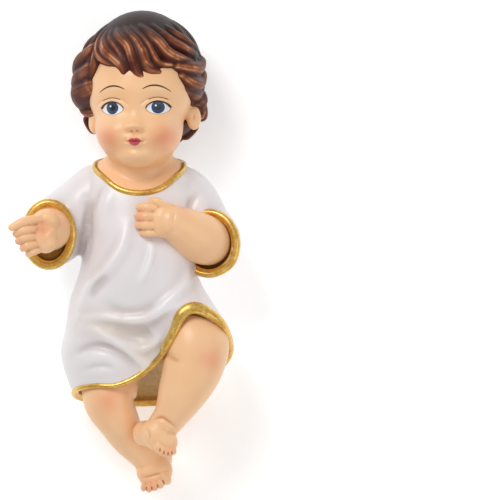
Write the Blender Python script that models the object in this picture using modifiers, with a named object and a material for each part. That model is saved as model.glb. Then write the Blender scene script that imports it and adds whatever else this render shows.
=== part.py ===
"""A lying infant figurine in a short robe, cast in one piece of resin.

Run it with: blender --background --python part.py

The origin is under the middle of the figure, on the surface that it lies on.
+Z is up, the head points to +Y and the figure's own left hand is towards +X.
"""

import math

import bmesh
import bpy
import numpy as np
from mathutils import Euler, Vector

# Driving sizes, in metres.
FIGURE_LENGTH = 0.203
CLOTH_EDGE = 0.0016
TRIM_RADIUS = 0.0012
CUFF_DEPTH = 0.0045
HEM_DEPTH = 0.0050

# The pose, the proportions and the carving are given in hundredths of the length.
SHARE = FIGURE_LENGTH / 100

# How finely the forms are fused, and how many triangles the finished solid keeps.
FUSE_STEP = 0.4 * SHARE
KEPT_TRIANGLES = 9400

# The robe's sections: height along the body, then its left, right, back and front.
ROBE_SECTIONS = (
    (-33.1, -8.4, 13.6, 0.6, 12.4),
    (-30.0, -10.4, 16.8, -0.2, 17.3),
    (-25.5, -12.1, 20.6, -0.4, 18.6),
    (-20.3, -13.2, 22.4, -0.4, 19.8),
    (-15.2, -12.5, 20.3, -0.4, 21.6),
    (-10.0, -11.4, 17.0, -0.4, 23.1),
    (-4.8, -9.7, 14.9, -0.4, 23.7),
    (0.3, -8.9, 15.2, -0.4, 23.3),
    (7.5, -8.6, 15.2, -0.2, 22.1),
    (12.1, -9.4, 15.4, 0.2, 21.0),
    (15.8, -8.1, 14.1, 1.4, 19.6),
    (17.8, -5.9, 11.9, 2.9, 17.7),
    (19.3, -4.4, 10.4, 5.4, 14.4),
)
# Where the neckline and the hem run: degrees round the body from its own left, then height.
NECKLINE = (
    (0, 17.8), (45, 15.6), (90, 12.1), (135, 15.6), (180, 18.0), (225, 19.1), (270, 19.3), (315, 19.1),
)
HEMLINE = (
    (0, -22.8), (22, -17.8), (40, -13.7), (52, -12.3), (63, -13.5), (73, -17.2), (81, -21.8), (89, -25.5),
    (100, -27.3), (125, -27.7), (155, -28.6), (185, -30.0), (215, -30.9), (245, -31.5), (270, -31.8),
    (300, -31.2), (325, -29.4), (342, -26.9),
)
# Cloth lifted by what is under it: place, reach sideways and lengthways, rise.
ROBE_MOUNDS = ((17.0, -15.5, 7.0, 7.0, 5.9), (-4.0, -24.0, 6.0, 5.0, 1.2))

# Sleeves, from the shoulder to the cuff: place, then the oval's half width and half height.
RIGHT_SLEEVE = (
    (-2.8, 12.7, 12.8, 6.0, 6.2),
    (-7.7, 9.6, 11.5, 6.6, 6.8),
    (-12.3, 6.2, 10.7, 6.4, 7.0),
    (-14.7, 4.0, 13.6, 5.8, 7.2),
    (-15.6, 3.6, 17.3, 5.3, 6.9),
    (-15.8, 3.6, 20.2, 5.4, 7.0),
)
LEFT_SLEEVE = (
    (9.6, 12.7, 12.4, 6.0, 6.0),
    (13.2, 9.2, 11.8, 6.2, 6.2),
    (16.2, 5.2, 11.6, 6.2, 6.2),
    (17.6, 2.6, 13.2, 6.1, 6.2),
    (17.8, 1.7, 15.7, 6.0, 6.3),
    (17.1, 1.7, 17.7, 6.0, 6.4),
)

# Limbs: place and radius at each station.
RIGHT_FOREARM = (
    (-13.1, 4.2, 10.3, 4.5), (-15.0, 4.6, 16.5, 4.5), (-15.6, 4.5, 21.0, 4.4), (-16.2, 4.2, 24.4, 3.6),
)
LEFT_FOREARM = (
    (17.6, 1.9, 13.0, 4.5), (16.9, 2.1, 16.9, 5.0), (15.0, 3.0, 19.6, 5.1),
    (12.2, 4.7, 21.9, 4.4), (9.6, 6.2, 23.9, 3.5),
)
RIGHT_LEG = (
    (-2.8, -19.3, 11.5, 5.8), (-3.2, -27.5, 12.0, 5.9), (-3.4, -31.2, 13.0, 5.7), (-1.6, -35.1, 12.4, 4.7),
    (1.1, -38.5, 10.9, 3.5), (3.9, -41.7, 9.5, 3.0), (6.0, -44.2, 9.1, 2.8),
)
LEFT_LEG = (
    (6.0, -14.0, 14.0, 6.4), (11.0, -16.0, 17.0, 7.2), (14.8, -18.7, 18.4, 7.3), (14.0, -23.8, 19.0, 6.7),
    (11.7, -29.4, 19.1, 5.3), (9.4, -33.7, 18.6, 3.9), (7.5, -36.2, 18.1, 3.2),
)
NECK = ((3.0, 16.0, 12.4, 7.6), (3.0, 20.5, 13.6, 6.8), (3.1, 26.0, 14.6, 7.0))

# Rounded masses of hands and feet: place, half sizes, and degrees turned about +Z.
RIGHT_HAND = (
    ((-17.0, 4.0, 26.6), (3.3, 3.9, 2.6), 0),
    ((-15.6, 6.9, 27.2), (2.2, 2.0, 1.9), 0),
    ((-16.0, 1.4, 26.6), (2.3, 1.9, 1.9), 0),
)
LEFT_HAND = (((8.2, 6.4, 24.0), (3.4, 3.7, 2.5), 0),)
RIGHT_FOOT = (
    ((6.4, -42.8, 7.6), (3.5, 3.4, 3.4), 0),
    ((6.6, -45.2, 9.9), (3.4, 3.5, 2.4), 15),
)
LEFT_FOOT = (
    ((4.2, -37.4, 16.2), (2.7, 2.7, 2.9), 0),
    ((7.2, -37.8, 18.6), (4.3, 3.3, 3.2), -35),
    ((8.6, -38.9, 19.5), (2.9, 2.3, 2.1), -20),
)
# Fingers and toes: base, middle, tip and radius.
RIGHT_FINGERS = (
    ((-18.0, 6.6, 28.4), (-20.8, 6.2, 30.2), (-23.2, 5.3, 30.5), 0.85),
    ((-18.2, 4.9, 27.9), (-20.4, 4.5, 30.0), (-22.3, 3.7, 30.2), 0.9),
    ((-18.2, 3.1, 27.6), (-20.0, 2.7, 29.7), (-21.6, 2.0, 29.7), 0.9),
    ((-17.8, 1.3, 27.3), (-19.2, 1.1, 29.1), (-20.6, 0.6, 29.1), 0.8),
    ((-16.0, 7.8, 28.2), (-18.2, 7.9, 30.4), (-20.6, 7.0, 31.4), 0.85),
)
LEFT_FINGERS = (
    ((6.4, 9.0, 24.8), (4.3, 9.1, 25.0), (2.9, 9.0, 23.4), 0.9),
    ((6.4, 7.2, 25.0), (4.0, 7.2, 25.2), (2.6, 7.2, 23.4), 0.92),
    ((6.4, 5.4, 24.9), (4.1, 5.4, 25.1), (2.7, 5.4, 23.3), 0.9),
    ((6.6, 3.8, 24.4), (4.8, 3.8, 24.6), (3.5, 3.8, 23.1), 0.8),
    ((8.8, 8.6, 24.6), (6.9, 10.2, 25.2), (5.4, 10.4, 24.6), 0.8),
)
RIGHT_TOES = (
    ((7.8, -46.0, 10.8), (8.9, -47.2, 11.2), (9.3, -47.9, 10.8), 1.15),
    ((7.2, -47.0, 11.0), (7.8, -48.4, 11.3), (8.0, -48.9, 10.8), 0.75),
    ((6.4, -47.4, 11.0), (6.7, -48.9, 11.2), (6.8, -49.3, 10.7), 0.7),
    ((5.6, -47.6, 10.8), (5.5, -49.1, 10.9), (5.5, -49.6, 10.4), 0.65),
    ((4.9, -47.6, 10.4), (4.4, -49.0, 10.2), (4.2, -49.5, 9.7), 0.6),
)
LEFT_TOES = (
    ((7.4, -38.6, 20.2), (6.9, -40.0, 21.0), (6.7, -40.7, 20.6), 1.1),
    ((8.2, -39.6, 20.6), (7.9, -40.9, 21.2), (7.8, -41.4, 20.8), 0.72),
    ((9.0, -40.0, 20.6), (8.8, -41.4, 21.1), (8.8, -41.8, 20.7), 0.68),
    ((9.8, -40.2, 20.4), (9.7, -41.6, 20.8), (9.7, -42.0, 20.4), 0.64),
    ((10.5, -39.8, 20.0), (10.6, -41.0, 20.2), (10.6, -41.4, 19.8), 0.6),
)

# The head's own frame: its middle, and how it is turned (pitch, yaw, roll in degrees).
HEAD_MIDDLE = (3.2, 34.3, 15.7)
HEAD_TURN = (0, -6, 1)
# Masses of the head, from its middle: place and half sizes. The ears come last.
SKULL = ((0, 0, 0), (11.2, 12.2, 12.9))
JAW = ((0, -8.5, 2.6), (10.0, 8.7, 9.6))
CHIN = ((0, -13.6, 7.0), (4.6, 3.6, 3.8))
EARS = (((-11.2, -6.6, -1.2), (1.5, 2.9, 2.2)), ((11.2, -6.6, -1.2), (1.5, 2.9, 2.2)))
HAIR_CAP = ((0.1, 3.1, -1.4), (11.8, 12.2, 13.2))
HAIR_NAPE = ((0, -4.7, -5.4), (12.4, 7.9, 8.8))
# Carving of the face on infant proportions: sideways, height, half sizes of the touch, rise.
# A sideways place other than 0 is carved on both sides.
FACE_TOUCHES = (
    (4.5, -3.6, 3.2, 2.3, -1.3),
    (4.5, -4.0, 1.9, 1.4, 0.9),
    (4.6, -0.6, 3.4, 1.2, 0.3),
    (0.0, -4.6, 1.2, 3.0, 0.9),
    (0.0, -7.4, 1.4, 1.2, 2.2),
    (1.3, -7.8, 0.8, 0.7, 0.9),
    (0.0, -9.1, 2.6, 0.6, -0.5),
    (0.0, -10.4, 3.0, 2.2, 1.1),
    (0.8, -10.0, 1.0, 0.5, 0.5),
    (0.0, -10.6, 2.0, 0.3, -0.5),
    (0.0, -11.2, 1.3, 0.6, 0.6),
    (0.0, -12.3, 1.8, 0.6, -0.4),
    (0.0, -14.0, 2.4, 1.7, 1.2),
    (5.4, -9.6, 3.4, 3.2, 1.3),
)

# Locks of hair: degrees round the head from the face, and above its middle, along each lock.
FRINGE_LOCKS = (
    ((-98, 68), (-63, 57), (-48, 39), (-41, 29), (-30, 23), (-19, 19)),
    ((-94, 72), (-53, 57), (-40, 41), (-30, 31), (-19, 24), (-11, 17), (-8, 7)),
    ((-95, 76), (-44, 58), (-31, 44), (-18, 33), (-10, 22), (-6, 13), (-5, 3)),
    ((-59, 79), (-32, 59), (-18, 45), (-5, 34), (0, 22), (4, 11), (13, 3)),
    ((-48, 82), (-19, 60), (-6, 46), (5, 35), (9, 24), (14, 14), (25, 11)),
    ((-9, 84), (-7, 61), (4, 47), (14, 37), (19, 27), (26, 19), (44, 18)),
    ((46, 84), (9, 62), (18, 47), (27, 37), (36, 28), (52, 23), (74, 20)),
    ((81, 79), (31, 62), (35, 48), (45, 39), (63, 33), (86, 25), (98, 13)),
    ((100, 72), (55, 60), (58, 48), (72, 39), (94, 29), (104, 18), (102, 9)),
    ((-100, 66), (-90, 54), (-78, 45), (-86, 34), (-92, 26), (-100, 22), (-96, 14)),
    ((-100, 62), (-66, 52), (-58, 39), (-57, 27), (-65, 17), (-84, 11), (-98, 6)),
    ((-81, 60), (-58, 49), (-50, 36), (-47, 24), (-52, 12), (-65, 0), (-88, -5)),
)
SIDE_CURLS = (
    ((-76, 30), (-90, 23), (-104, 22), (-100, 32)),
    ((-62, 14), (-80, 7), (-98, 4), (-102, 14)),
    ((-60, -2), (-84, -2), (-100, -8), (-96, -17)),
    ((-70, -12), (-90, -18), (-96, -26), (-78, -30)),
    ((47, 18), (60, 15), (80, 14), (98, 20)),
    ((54, 9), (66, 2), (88, 0), (102, 8)),
    ((62, -4), (82, -11), (100, -9), (104, 2)),
    ((76, -12), (92, -19), (105, -16), (108, -6)),
    ((84, -20), (98, -26), (104, -34), (94, -42)),
)
FRINGE_WIDTH = 1.25
CURL_WIDTH = 1.75
# Waves down the back of the head.
BACK_LOCKS = 17
BACK_WIDTH = 1.5

# Folds of the robe: points across and along the body, reach and rise. Front, then back.
FRONT_FOLDS = (
    (((-8.1, 11.0), (-7.7, 5.5), (-8.1, 0.3), (-9.4, -4.8)), 1.0, -0.8),
    (((-4.4, 13.5), (-5.9, 10.6), (-6.7, 7.9)), 0.7, -0.4),
    (((-2.8, 12.7), (-4.4, 8.1), (-5.3, 3.4)), 1.2, 0.4),
    (((0.5, 5.3), (-0.7, 0.7), (-3.6, -3.8), (-6.9, -7.3), (-9.4, -12.5)), 1.1, 0.8),
    (((-3.2, -4.8), (-5.9, -7.3), (-7.7, -10.0)), 1.1, -0.7),
    (((5.7, 2.4), (5.5, -0.9), (4.4, -4.2), (2.8, -6.7)), 0.7, 0.5),
    (((13.1, -3.0), (12.7, -5.9), (10.8, -8.6), (7.7, -11.2), (4.0, -13.1), (-0.7, -13.3)), 1.1, 0.7),
    (((-4.4, -10.6), (-0.7, -12.3), (3.4, -12.3), (6.3, -10.8)), 1.1, -0.5),
    (((-9.4, -13.5), (-4.0, -13.7), (0.9, -14.5), (4.4, -14.1), (8.4, -12.1), (12.7, -10.6)), 0.9, 0.7),
    (((-2.8, -16.0), (1.3, -17.4), (5.1, -17.4), (7.7, -15.4)), 2.0, -1.4),
    (((0.5, -18.9), (3.6, -20.1), (6.1, -18.9), (7.7, -17.2)), 0.9, 0.6),
    (((-9.6, -14.3), (-3.6, -17.6), (1.3, -21.1), (5.1, -24.6)), 1.3, 0.9),
    (((-10.6, -21.1), (-7.7, -19.7), (-4.4, -19.7), (-1.1, -21.1), (2.6, -23.8)), 0.9, -0.8),
    (((-8.6, -24.4), (-6.1, -23.6), (-3.6, -23.6), (-2.2, -24.2)), 0.7, -0.4),
    (((15.4, 12.3), (13.9, 10.2), (13.3, 8.1)), 0.9, -0.5),
)
BACK_FOLDS = (
    (((-10.0, 10.0), (-9.6, 5.5), (-9.4, -0.1)), 0.8, -0.9),
    (((14.9, 10.0), (13.7, 5.5), (13.5, 0.3)), 0.8, -0.8),
    (((-5.9, -11.6), (-8.4, -16.2), (-11.4, -20.3)), 0.9, 0.6),
    (((12.7, -10.6), (14.3, -14.1), (17.4, -17.2)), 0.9, 0.6),
    (((13.3, -3.4), (14.9, -7.9), (17.8, -12.9), (20.7, -16.6)), 1.2, 0.6),
)


def clear_scene():
    """Removes what the startup file holds."""
    for leftover in list(bpy.data.objects):
        bpy.data.objects.remove(leftover)


def through(keys, values, wanted, period=None):
    """Values at wanted, on a smooth curve through the values at keys. A period closes the curve."""
    keys = np.asarray(keys, float)
    values = np.asarray(values, float)
    wanted = np.asarray(wanted, float)
    if period:
        keys = np.concatenate([keys - period, keys, keys + period])
        values = np.concatenate([values] * 3)
    slopes = np.gradient(values, keys, axis=0)
    index = np.clip(np.searchsorted(keys, wanted) - 1, 0, len(keys) - 2)
    step = keys[index + 1] - keys[index]
    t = np.clip((wanted - keys[index]) / step, 0, 1)
    if values.ndim > 1:
        t = t[..., None]
        step = step[..., None]
    rise = (2 * t**3 - 3 * t**2 + 1) * values[index] + (3 * t**2 - 2 * t**3) * values[index + 1]
    lean = (t**3 - 2 * t**2 + t) * slopes[index] + (t**3 - t**2) * slopes[index + 1]
    return rise + lean * step


def smooth_path(stations, steps):
    """Stations on a smooth curve through the given ones, steps for each stretch."""
    stations = np.asarray(stations, float)
    keys = np.arange(len(stations))
    return through(keys, stations, np.linspace(0, len(stations) - 1, (len(stations) - 1) * steps + 1))


def new_object(name, mesh):
    """Puts a mesh in the scene as an object of that name."""
    item = bpy.data.objects.new(name, mesh)
    bpy.context.scene.collection.objects.link(item)
    return item


def as_mesh(item):
    """Replaces a curve, or an object with live modifiers, by the plain mesh that it evaluates to."""
    bpy.context.view_layer.update()
    graph = bpy.context.evaluated_depsgraph_get()
    mesh = bpy.data.meshes.new_from_object(item.evaluated_get(graph))
    mesh.transform(item.matrix_world)
    name = item.name
    bpy.data.objects.remove(item)
    return new_object(name, mesh)


def limb(name, stations, steps=5, sides=3):
    """A round limb through stations of place and radius, with a rounded end."""
    path = smooth_path(stations, steps)
    tip, radius = path[-1, :3], path[-1, 3]
    ahead = tip - path[-2, :3]
    ahead /= np.linalg.norm(ahead)
    dome = [[*(tip + ahead * radius * math.sin(a)), radius * math.cos(a)] for a in (0.5, 1.0, 1.4)]
    path = np.vstack([path, dome])
    data = bpy.data.curves.new(name, "CURVE")
    data.dimensions = "3D"
    data.bevel_depth = SHARE
    data.bevel_resolution = sides
    data.use_fill_caps = True
    spline = data.splines.new("POLY")
    spline.points.add(len(path) - 1)
    for point, (x, y, z, radius) in zip(spline.points, path):
        point.co = (x * SHARE, y * SHARE, z * SHARE, 1)
        point.radius = radius
    return as_mesh(new_object(name, data))


def mass(name, middle, half_sizes, turned=0):
    """A rounded mass, as a stretched sphere."""
    bpy.ops.mesh.primitive_uv_sphere_add(segments=28, ring_count=18, radius=1)
    ball = bpy.context.object
    ball.name = name
    ball.scale = Vector(half_sizes) * SHARE
    ball.location = Vector(middle) * SHARE
    ball.rotation_euler = (0, 0, math.radians(turned))
    return as_mesh(ball)


def loft(name, rings):
    """A closed solid through rings of the same number of points, closed at both ends."""
    count, sides = rings.shape[:2]
    points = np.vstack([rings.reshape(-1, 3), rings[0].mean(0), rings[-1].mean(0)])
    first, last = count * sides, count * sides + 1
    faces = []
    for row in range(count - 1):
        for side in range(sides):
            a = row * sides + side
            b = row * sides + (side + 1) % sides
            faces.append((a, b, b + sides, a + sides))
    for side in range(sides):
        after = (side + 1) % sides
        faces.append((first, after, side))
        faces.append((last, (count - 1) * sides + side, (count - 1) * sides + after))
    mesh = bpy.data.meshes.new(name)
    mesh.from_pydata((points * SHARE).tolist(), [], faces)
    form = bmesh.new()
    form.from_mesh(mesh)
    bmesh.ops.recalc_face_normals(form, faces=form.faces)
    form.to_mesh(mesh)
    form.free()
    return new_object(name, mesh)


def hollowed(rings, depth):
    """The rings, with a rim as thick as the cloth's edge and a hollow of that depth after the last."""
    edge = rings[-1]
    middle = edge.mean(0)
    inward = middle - edge
    inward /= np.linalg.norm(inward, axis=1)[:, None]
    back = rings[-3].mean(0) - middle
    back /= np.linalg.norm(back)
    rim = edge + inward * CLOTH_EDGE / SHARE
    floor = rim + back * depth / SHARE
    return np.concatenate([rings, [rim, floor]])


def robe_rings(rows=64, sides=96):
    """The robe's body, row by row from the neckline to the hem."""
    degrees = np.arange(sides) * 360 / sides
    turn = np.radians(degrees)
    neck = through(*np.transpose(NECKLINE), degrees, 360)
    hem = through(*np.transpose(HEMLINE), degrees, 360)
    sections = np.array(ROBE_SECTIONS)
    squarer = 0.84
    across = np.sign(np.cos(turn)) * abs(np.cos(turn)) ** squarer
    upward = np.sign(np.sin(turn)) * abs(np.sin(turn)) ** squarer
    rings = []
    for row in range(rows + 1):
        y = neck + (hem - neck) * row / rows
        left, right, back, front = through(sections[:, 0], sections[:, 1:], y).T
        x = (left + right) / 2 + (right - left) / 2 * across
        z = (back + front) / 2 + (front - back) / 2 * upward
        for place_x, place_y, reach_x, reach_y, rise in ROBE_MOUNDS:
            near = np.exp(-(((x - place_x) / reach_x) ** 2) - ((y - place_y) / reach_y) ** 2)
            push = rise * near * np.clip(upward + 0.2, 0, 1)
            x += push * across * 0.6
            z += push
        rings.append(np.stack([x, y, z], axis=1))
    return np.array(rings)


def sleeve_rings(stations, sides=48):
    """Ovals along a sleeve's path, each across the path and standing along the body."""
    path = smooth_path(stations, 6)
    ahead = np.gradient(path[:, :3], axis=0)
    ahead /= np.linalg.norm(ahead, axis=1)[:, None]
    along = np.array([0.0, 1.0, 0.0]) - ahead * ahead[:, 1:2]
    along /= np.linalg.norm(along, axis=1)[:, None]
    across = np.cross(along, ahead)
    turn = np.arange(sides) * 2 * math.pi / sides
    rings = []
    for station, side_way, long_way in zip(path, across, along):
        oval = np.cos(turn)[:, None] * side_way * station[3] + np.sin(turn)[:, None] * long_way * station[4]
        rings.append(station[:3] + oval)
    return np.array(rings)


def edge_bead(name, ring):
    """The raised bead along a cloth edge, as a closed tube."""
    data = bpy.data.curves.new(name, "CURVE")
    data.dimensions = "3D"
    data.bevel_depth = TRIM_RADIUS
    data.bevel_resolution = 2
    spline = data.splines.new("POLY")
    spline.points.add(len(ring) - 1)
    for point, place in zip(spline.points, ring):
        point.co = (*(place * SHARE), 1)
    spline.use_cyclic_u = True
    return as_mesh(new_object(name, data))


def fused(name, pieces, step=FUSE_STEP):
    """One closed form out of overlapping pieces."""
    bpy.ops.object.select_all(action="DESELECT")
    for piece in pieces:
        piece.select_set(True)
    bpy.context.view_layer.objects.active = pieces[0]
    bpy.ops.object.join()
    joined = bpy.context.object
    joined.name = name
    remesh = joined.modifiers.new("Fuse", "REMESH")
    remesh.mode = "VOXEL"
    remesh.voxel_size = step
    return as_mesh(joined)


def relaxed(item, repeats):
    """Softens a form, as a thumb does clay."""
    smooth = item.modifiers.new("Soften", "SMOOTH")
    smooth.factor = 0.5
    smooth.iterations = repeats
    return as_mesh(item)


def points_of(item):
    """An object's points and their normals, in hundredths of the length."""
    count = len(item.data.vertices)
    points = np.empty(count * 3, np.float32)
    normals = np.empty(count * 3, np.float32)
    item.data.vertices.foreach_get("co", points)
    item.data.vertices.foreach_get("normal", normals)
    return points.reshape(-1, 3) / SHARE, normals.reshape(-1, 3)


def move_points(item, points):
    """Gives an object's points new places, in hundredths of the length."""
    item.data.vertices.foreach_set("co", (points * SHARE).astype(np.float32).ravel())
    item.data.update()


def distance_along(points, line):
    """How far points are from a line of two or more points, and how far along it the nearest is, 0 to 1."""
    line = np.asarray(line, float)
    best = np.full(len(points), np.inf)
    share = np.zeros(len(points))
    stretches = len(line) - 1
    for index in range(stretches):
        start, way = line[index], line[index + 1] - line[index]
        t = np.clip(((points - start) @ way) / (way @ way), 0, 1)
        away = np.linalg.norm(points - start - t[:, None] * way, axis=1)
        nearer = away < best
        best = np.where(nearer, away, best)
        share = np.where(nearer, (index + t) / stretches, share)
    return best, share


def fold(item, folds, facing):
    """Raises or sinks folds in the robe. facing is 1 for its front and -1 for its back."""
    for line, reach, rise in folds:
        points, normals = points_of(item)
        away, share = distance_along(points[:, :2], smooth_path(line, 4))
        fade = np.sin(np.clip(share, 0.02, 0.98) * math.pi) ** 0.6
        side = np.clip(normals[:, 2] * facing + 0.35, 0, 1)
        amount = rise * np.exp(-((away / reach) ** 2)) * fade * side
        move_points(item, points + normals * amount[:, None])


def make_robe():
    """The robe with its sleeves, hollowed cuffs and hem, beads and folds."""
    body = robe_rings()
    right_sleeve = sleeve_rings(RIGHT_SLEEVE)
    left_sleeve = sleeve_rings(LEFT_SLEEVE)
    cloth = fused(
        "robe",
        [
            loft("robe_body", hollowed(body, HEM_DEPTH)),
            loft("right_sleeve", hollowed(right_sleeve, CUFF_DEPTH)),
            loft("left_sleeve", hollowed(left_sleeve, CUFF_DEPTH)),
        ],
    )
    cloth = relaxed(cloth, 6)
    fold(cloth, FRONT_FOLDS, 1)
    fold(cloth, BACK_FOLDS, -1)
    rims = {"neck": body[0], "hem": body[-1], "right_cuff": right_sleeve[-1], "left_cuff": left_sleeve[-1]}
    return [cloth] + [edge_bead(f"{name}_bead", ring) for name, ring in rims.items()]


def digits(name, rows):
    """Fingers or toes, each through its base, middle and tip."""
    made = []
    for number, (base, middle, tip, radius) in enumerate(rows):
        stations = [[*base, radius], [*middle, radius * 1.02], [*tip, radius * 0.8]]
        made.append(limb(f"{name}_{number}", stations, steps=3))
    return made


def make_arm(name, forearm, hand, fingers):
    """A bare forearm with its hand."""
    palm = [mass(f"{name}_palm_{i}", *row) for i, row in enumerate(hand)]
    arm = relaxed(fused(name, [limb(name, forearm), *palm]), 3)
    return [arm, *digits(f"{name}_finger", fingers)]


def make_leg(name, stations, foot, toes):
    """A bare leg with its foot."""
    parts = [mass(f"{name}_foot_{i}", *row) for i, row in enumerate(foot)]
    leg = relaxed(fused(name, [limb(name, stations), *parts]), 4)
    return [leg, *digits(f"{name}_toe", toes)]


def head_matrix():
    """How the head's own frame, looking along +Z, stands on the body."""
    turn = Euler([math.radians(angle) for angle in HEAD_TURN])
    return np.array(turn.to_matrix())


def on_head(places):
    """Places in the head's own frame, in the figure's frame."""
    return np.asarray(places) @ head_matrix().T + np.array(HEAD_MIDDLE)


def head_mass(name, middle, half_sizes):
    """A rounded mass of the head, in the head's own frame."""
    ball = mass(name, middle, half_sizes)
    points, _ = points_of(ball)
    move_points(ball, on_head(points))
    return ball


def carve_face(head):
    """Raises and sinks the features, straight towards the viewer of the face."""
    points, _ = points_of(head)
    own = (points - np.array(HEAD_MIDDLE)) @ head_matrix()
    lift = np.zeros(len(own))
    for sideways, height, reach_x, reach_y, rise in FACE_TOUCHES:
        for side in {sideways, -sideways}:
            spread = ((own[:, 0] - side) / reach_x) ** 2 + ((own[:, 1] - height) / reach_y) ** 2
            lift += rise * np.exp(-spread)
    own[:, 2] += lift * np.clip(own[:, 2] / 5 - 0.4, 0, 1)
    move_points(head, on_head(own))


def make_head():
    """Skull, jaw, neck and ears in one form, with the face carved."""
    masses = {"skull": SKULL, "jaw": JAW, "chin": CHIN}
    pieces = [head_mass(name, *values) for name, values in masses.items()] + [limb("neck", NECK)]
    head = relaxed(fused("head", pieces), 14)
    carve_face(head)
    return [head] + [head_mass(f"ear_{i}", *ear) for i, ear in enumerate(EARS)]


def scalp_distance(ways):
    """How far the hair's surface is from the head's middle, in each direction."""
    best = np.zeros(len(ways))
    for middle, half_sizes in (HAIR_CAP, HAIR_NAPE):
        start = -np.array(middle) / half_sizes
        run = ways / np.array(half_sizes)
        a = (run**2).sum(1)
        b = run @ start
        c = start @ start - 1
        best = np.maximum(best, (-b + np.sqrt(np.maximum(b * b - a * c, 0))) / a)
    return best


def lock(name, path, width, lift=0.1, blunt=0.35):
    """A lock of hair lying on the scalp, blunt at its ends by that share of its width.

    path is degrees round and degrees up, along the lock.
    """
    line = np.radians(smooth_path(path, 4))
    level = np.cos(line[:, 1])
    ways = np.stack([level * np.sin(line[:, 0]), np.sin(line[:, 1]), level * np.cos(line[:, 0])], axis=1)
    t = np.linspace(0, 1, len(line))
    places = ways * (scalp_distance(ways) + lift * width)[:, None]
    radii = width * (blunt + (1 - blunt) * np.sin(math.pi * np.clip(t * 0.9 + 0.05, 0, 1)) ** 0.7)
    return limb(name, np.column_stack([on_head(places), radii]), steps=1, sides=2)


def crown_locks():
    """Waves from the crown down the back and sides, each ending in a curl that turns up."""
    made = []
    for number in range(BACK_LOCKS):
        side = 80 + number * 200 / (BACK_LOCKS - 1)
        swing = 6 + 3 * math.sin(number * 1.3)
        end = -34 + 7 * math.sin(number * 2.1)
        turn = 1 if side > 180 else -1
        path = [(side, 80), (side - swing, 60), (side + swing, 40), (side - swing, 20), (side + swing, 2)]
        curl = swing * turn
        path += [(side - swing * 0.6, end + 16), (side + curl, end), (side + curl * 2.2, end + 7)]
        made.append(lock(f"wave_{number}", path, BACK_WIDTH, lift=-0.1))
    return made


def make_hair():
    """The cap of hair and the locks carved on it."""
    pieces = [head_mass("hair_cap", *HAIR_CAP), head_mass("hair_nape", *HAIR_NAPE)]
    pieces += crown_locks()
    pieces += [lock(f"fringe_{i}", path, FRINGE_WIDTH) for i, path in enumerate(FRINGE_LOCKS)]
    pieces += [lock(f"curl_{i}", path, CURL_WIDTH, lift=0.35, blunt=0.8) for i, path in enumerate(SIDE_CURLS)]
    return pieces


def resin():
    """Painted resin: a satin off-white, as the robe that covers most of the figure."""
    material = bpy.data.materials.new("painted_resin")
    material.use_nodes = True
    shader = material.node_tree.nodes["Principled BSDF"]
    shader.inputs["Base Color"].default_value = (0.80, 0.77, 0.75, 1)
    shader.inputs["Roughness"].default_value = 0.42
    shader.inputs["Metallic"].default_value = 0.0
    return material


def lying_flat(figure):
    """Thins the mesh, centres it over the origin and cuts the back flat where it rests."""
    count = sum(len(face.vertices) - 2 for face in figure.data.polygons)
    thin = figure.modifiers.new("Thin", "DECIMATE")
    thin.ratio = KEPT_TRIANGLES / count
    figure = as_mesh(figure)
    points, _ = points_of(figure)
    low, high = points.min(0), points.max(0)
    middle = (low + high) / 2
    points -= np.array([middle[0], middle[1], 0])
    move_points(figure, points)
    size = FIGURE_LENGTH * 2
    bpy.ops.mesh.primitive_cube_add(size=size, location=(0, 0, -size / 2))
    floor = bpy.context.object
    floor.name = "rest_cutter"
    floor.hide_render = True
    floor.display_type = "WIRE"
    cut = figure.modifiers.new("Rest", "BOOLEAN")
    cut.operation = "DIFFERENCE"
    cut.solver = "EXACT"
    cut.object = floor
    return figure


def main():
    clear_scene()
    pieces = make_robe() + make_head() + make_hair()
    pieces += make_arm("right_arm", RIGHT_FOREARM, RIGHT_HAND, RIGHT_FINGERS)
    pieces += make_arm("left_arm", LEFT_FOREARM, LEFT_HAND, LEFT_FINGERS)
    pieces += make_leg("right_leg", RIGHT_LEG, RIGHT_FOOT, RIGHT_TOES)
    pieces += make_leg("left_leg", LEFT_LEG, LEFT_FOOT, LEFT_TOES)
    figure = relaxed(fused("figurine", pieces), 1)
    figure = lying_flat(figure)
    figure.data.materials.clear()
    figure.data.materials.append(resin())


main()
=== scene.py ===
# %% [markdown]
# # A painted resin infant, lying on its back
#
# The real thing is one casting of resin. A modeller carved the form, and a painter then gave each
# region its own finish: flesh, pearl white cloth, gold edges, and dark hair brushed with copper.
# This lesson follows that order. Each painted region becomes one piece, grown from rounded
# primitives that are fused, softened and then carved by moving points, as a thumb moves clay.

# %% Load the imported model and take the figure's length from it
import math

import bpy
import numpy as np
from mathutils import Euler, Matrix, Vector


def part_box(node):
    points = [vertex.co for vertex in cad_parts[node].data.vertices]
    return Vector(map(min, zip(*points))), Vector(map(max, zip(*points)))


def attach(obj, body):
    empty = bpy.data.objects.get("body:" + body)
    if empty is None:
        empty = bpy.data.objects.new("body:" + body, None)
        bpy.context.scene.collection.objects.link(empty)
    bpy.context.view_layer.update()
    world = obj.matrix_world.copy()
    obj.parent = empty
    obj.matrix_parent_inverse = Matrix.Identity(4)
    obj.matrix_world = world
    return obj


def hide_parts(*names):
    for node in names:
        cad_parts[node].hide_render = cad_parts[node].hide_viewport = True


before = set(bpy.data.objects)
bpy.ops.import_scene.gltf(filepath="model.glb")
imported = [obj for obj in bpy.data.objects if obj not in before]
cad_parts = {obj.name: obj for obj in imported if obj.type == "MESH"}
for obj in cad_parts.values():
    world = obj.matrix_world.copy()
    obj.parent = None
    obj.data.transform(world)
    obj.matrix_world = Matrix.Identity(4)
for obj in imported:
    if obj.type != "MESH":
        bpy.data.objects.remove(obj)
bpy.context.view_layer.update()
LOW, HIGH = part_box("figurine")
FIGURE_LENGTH = HIGH.y - LOW.y
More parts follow.
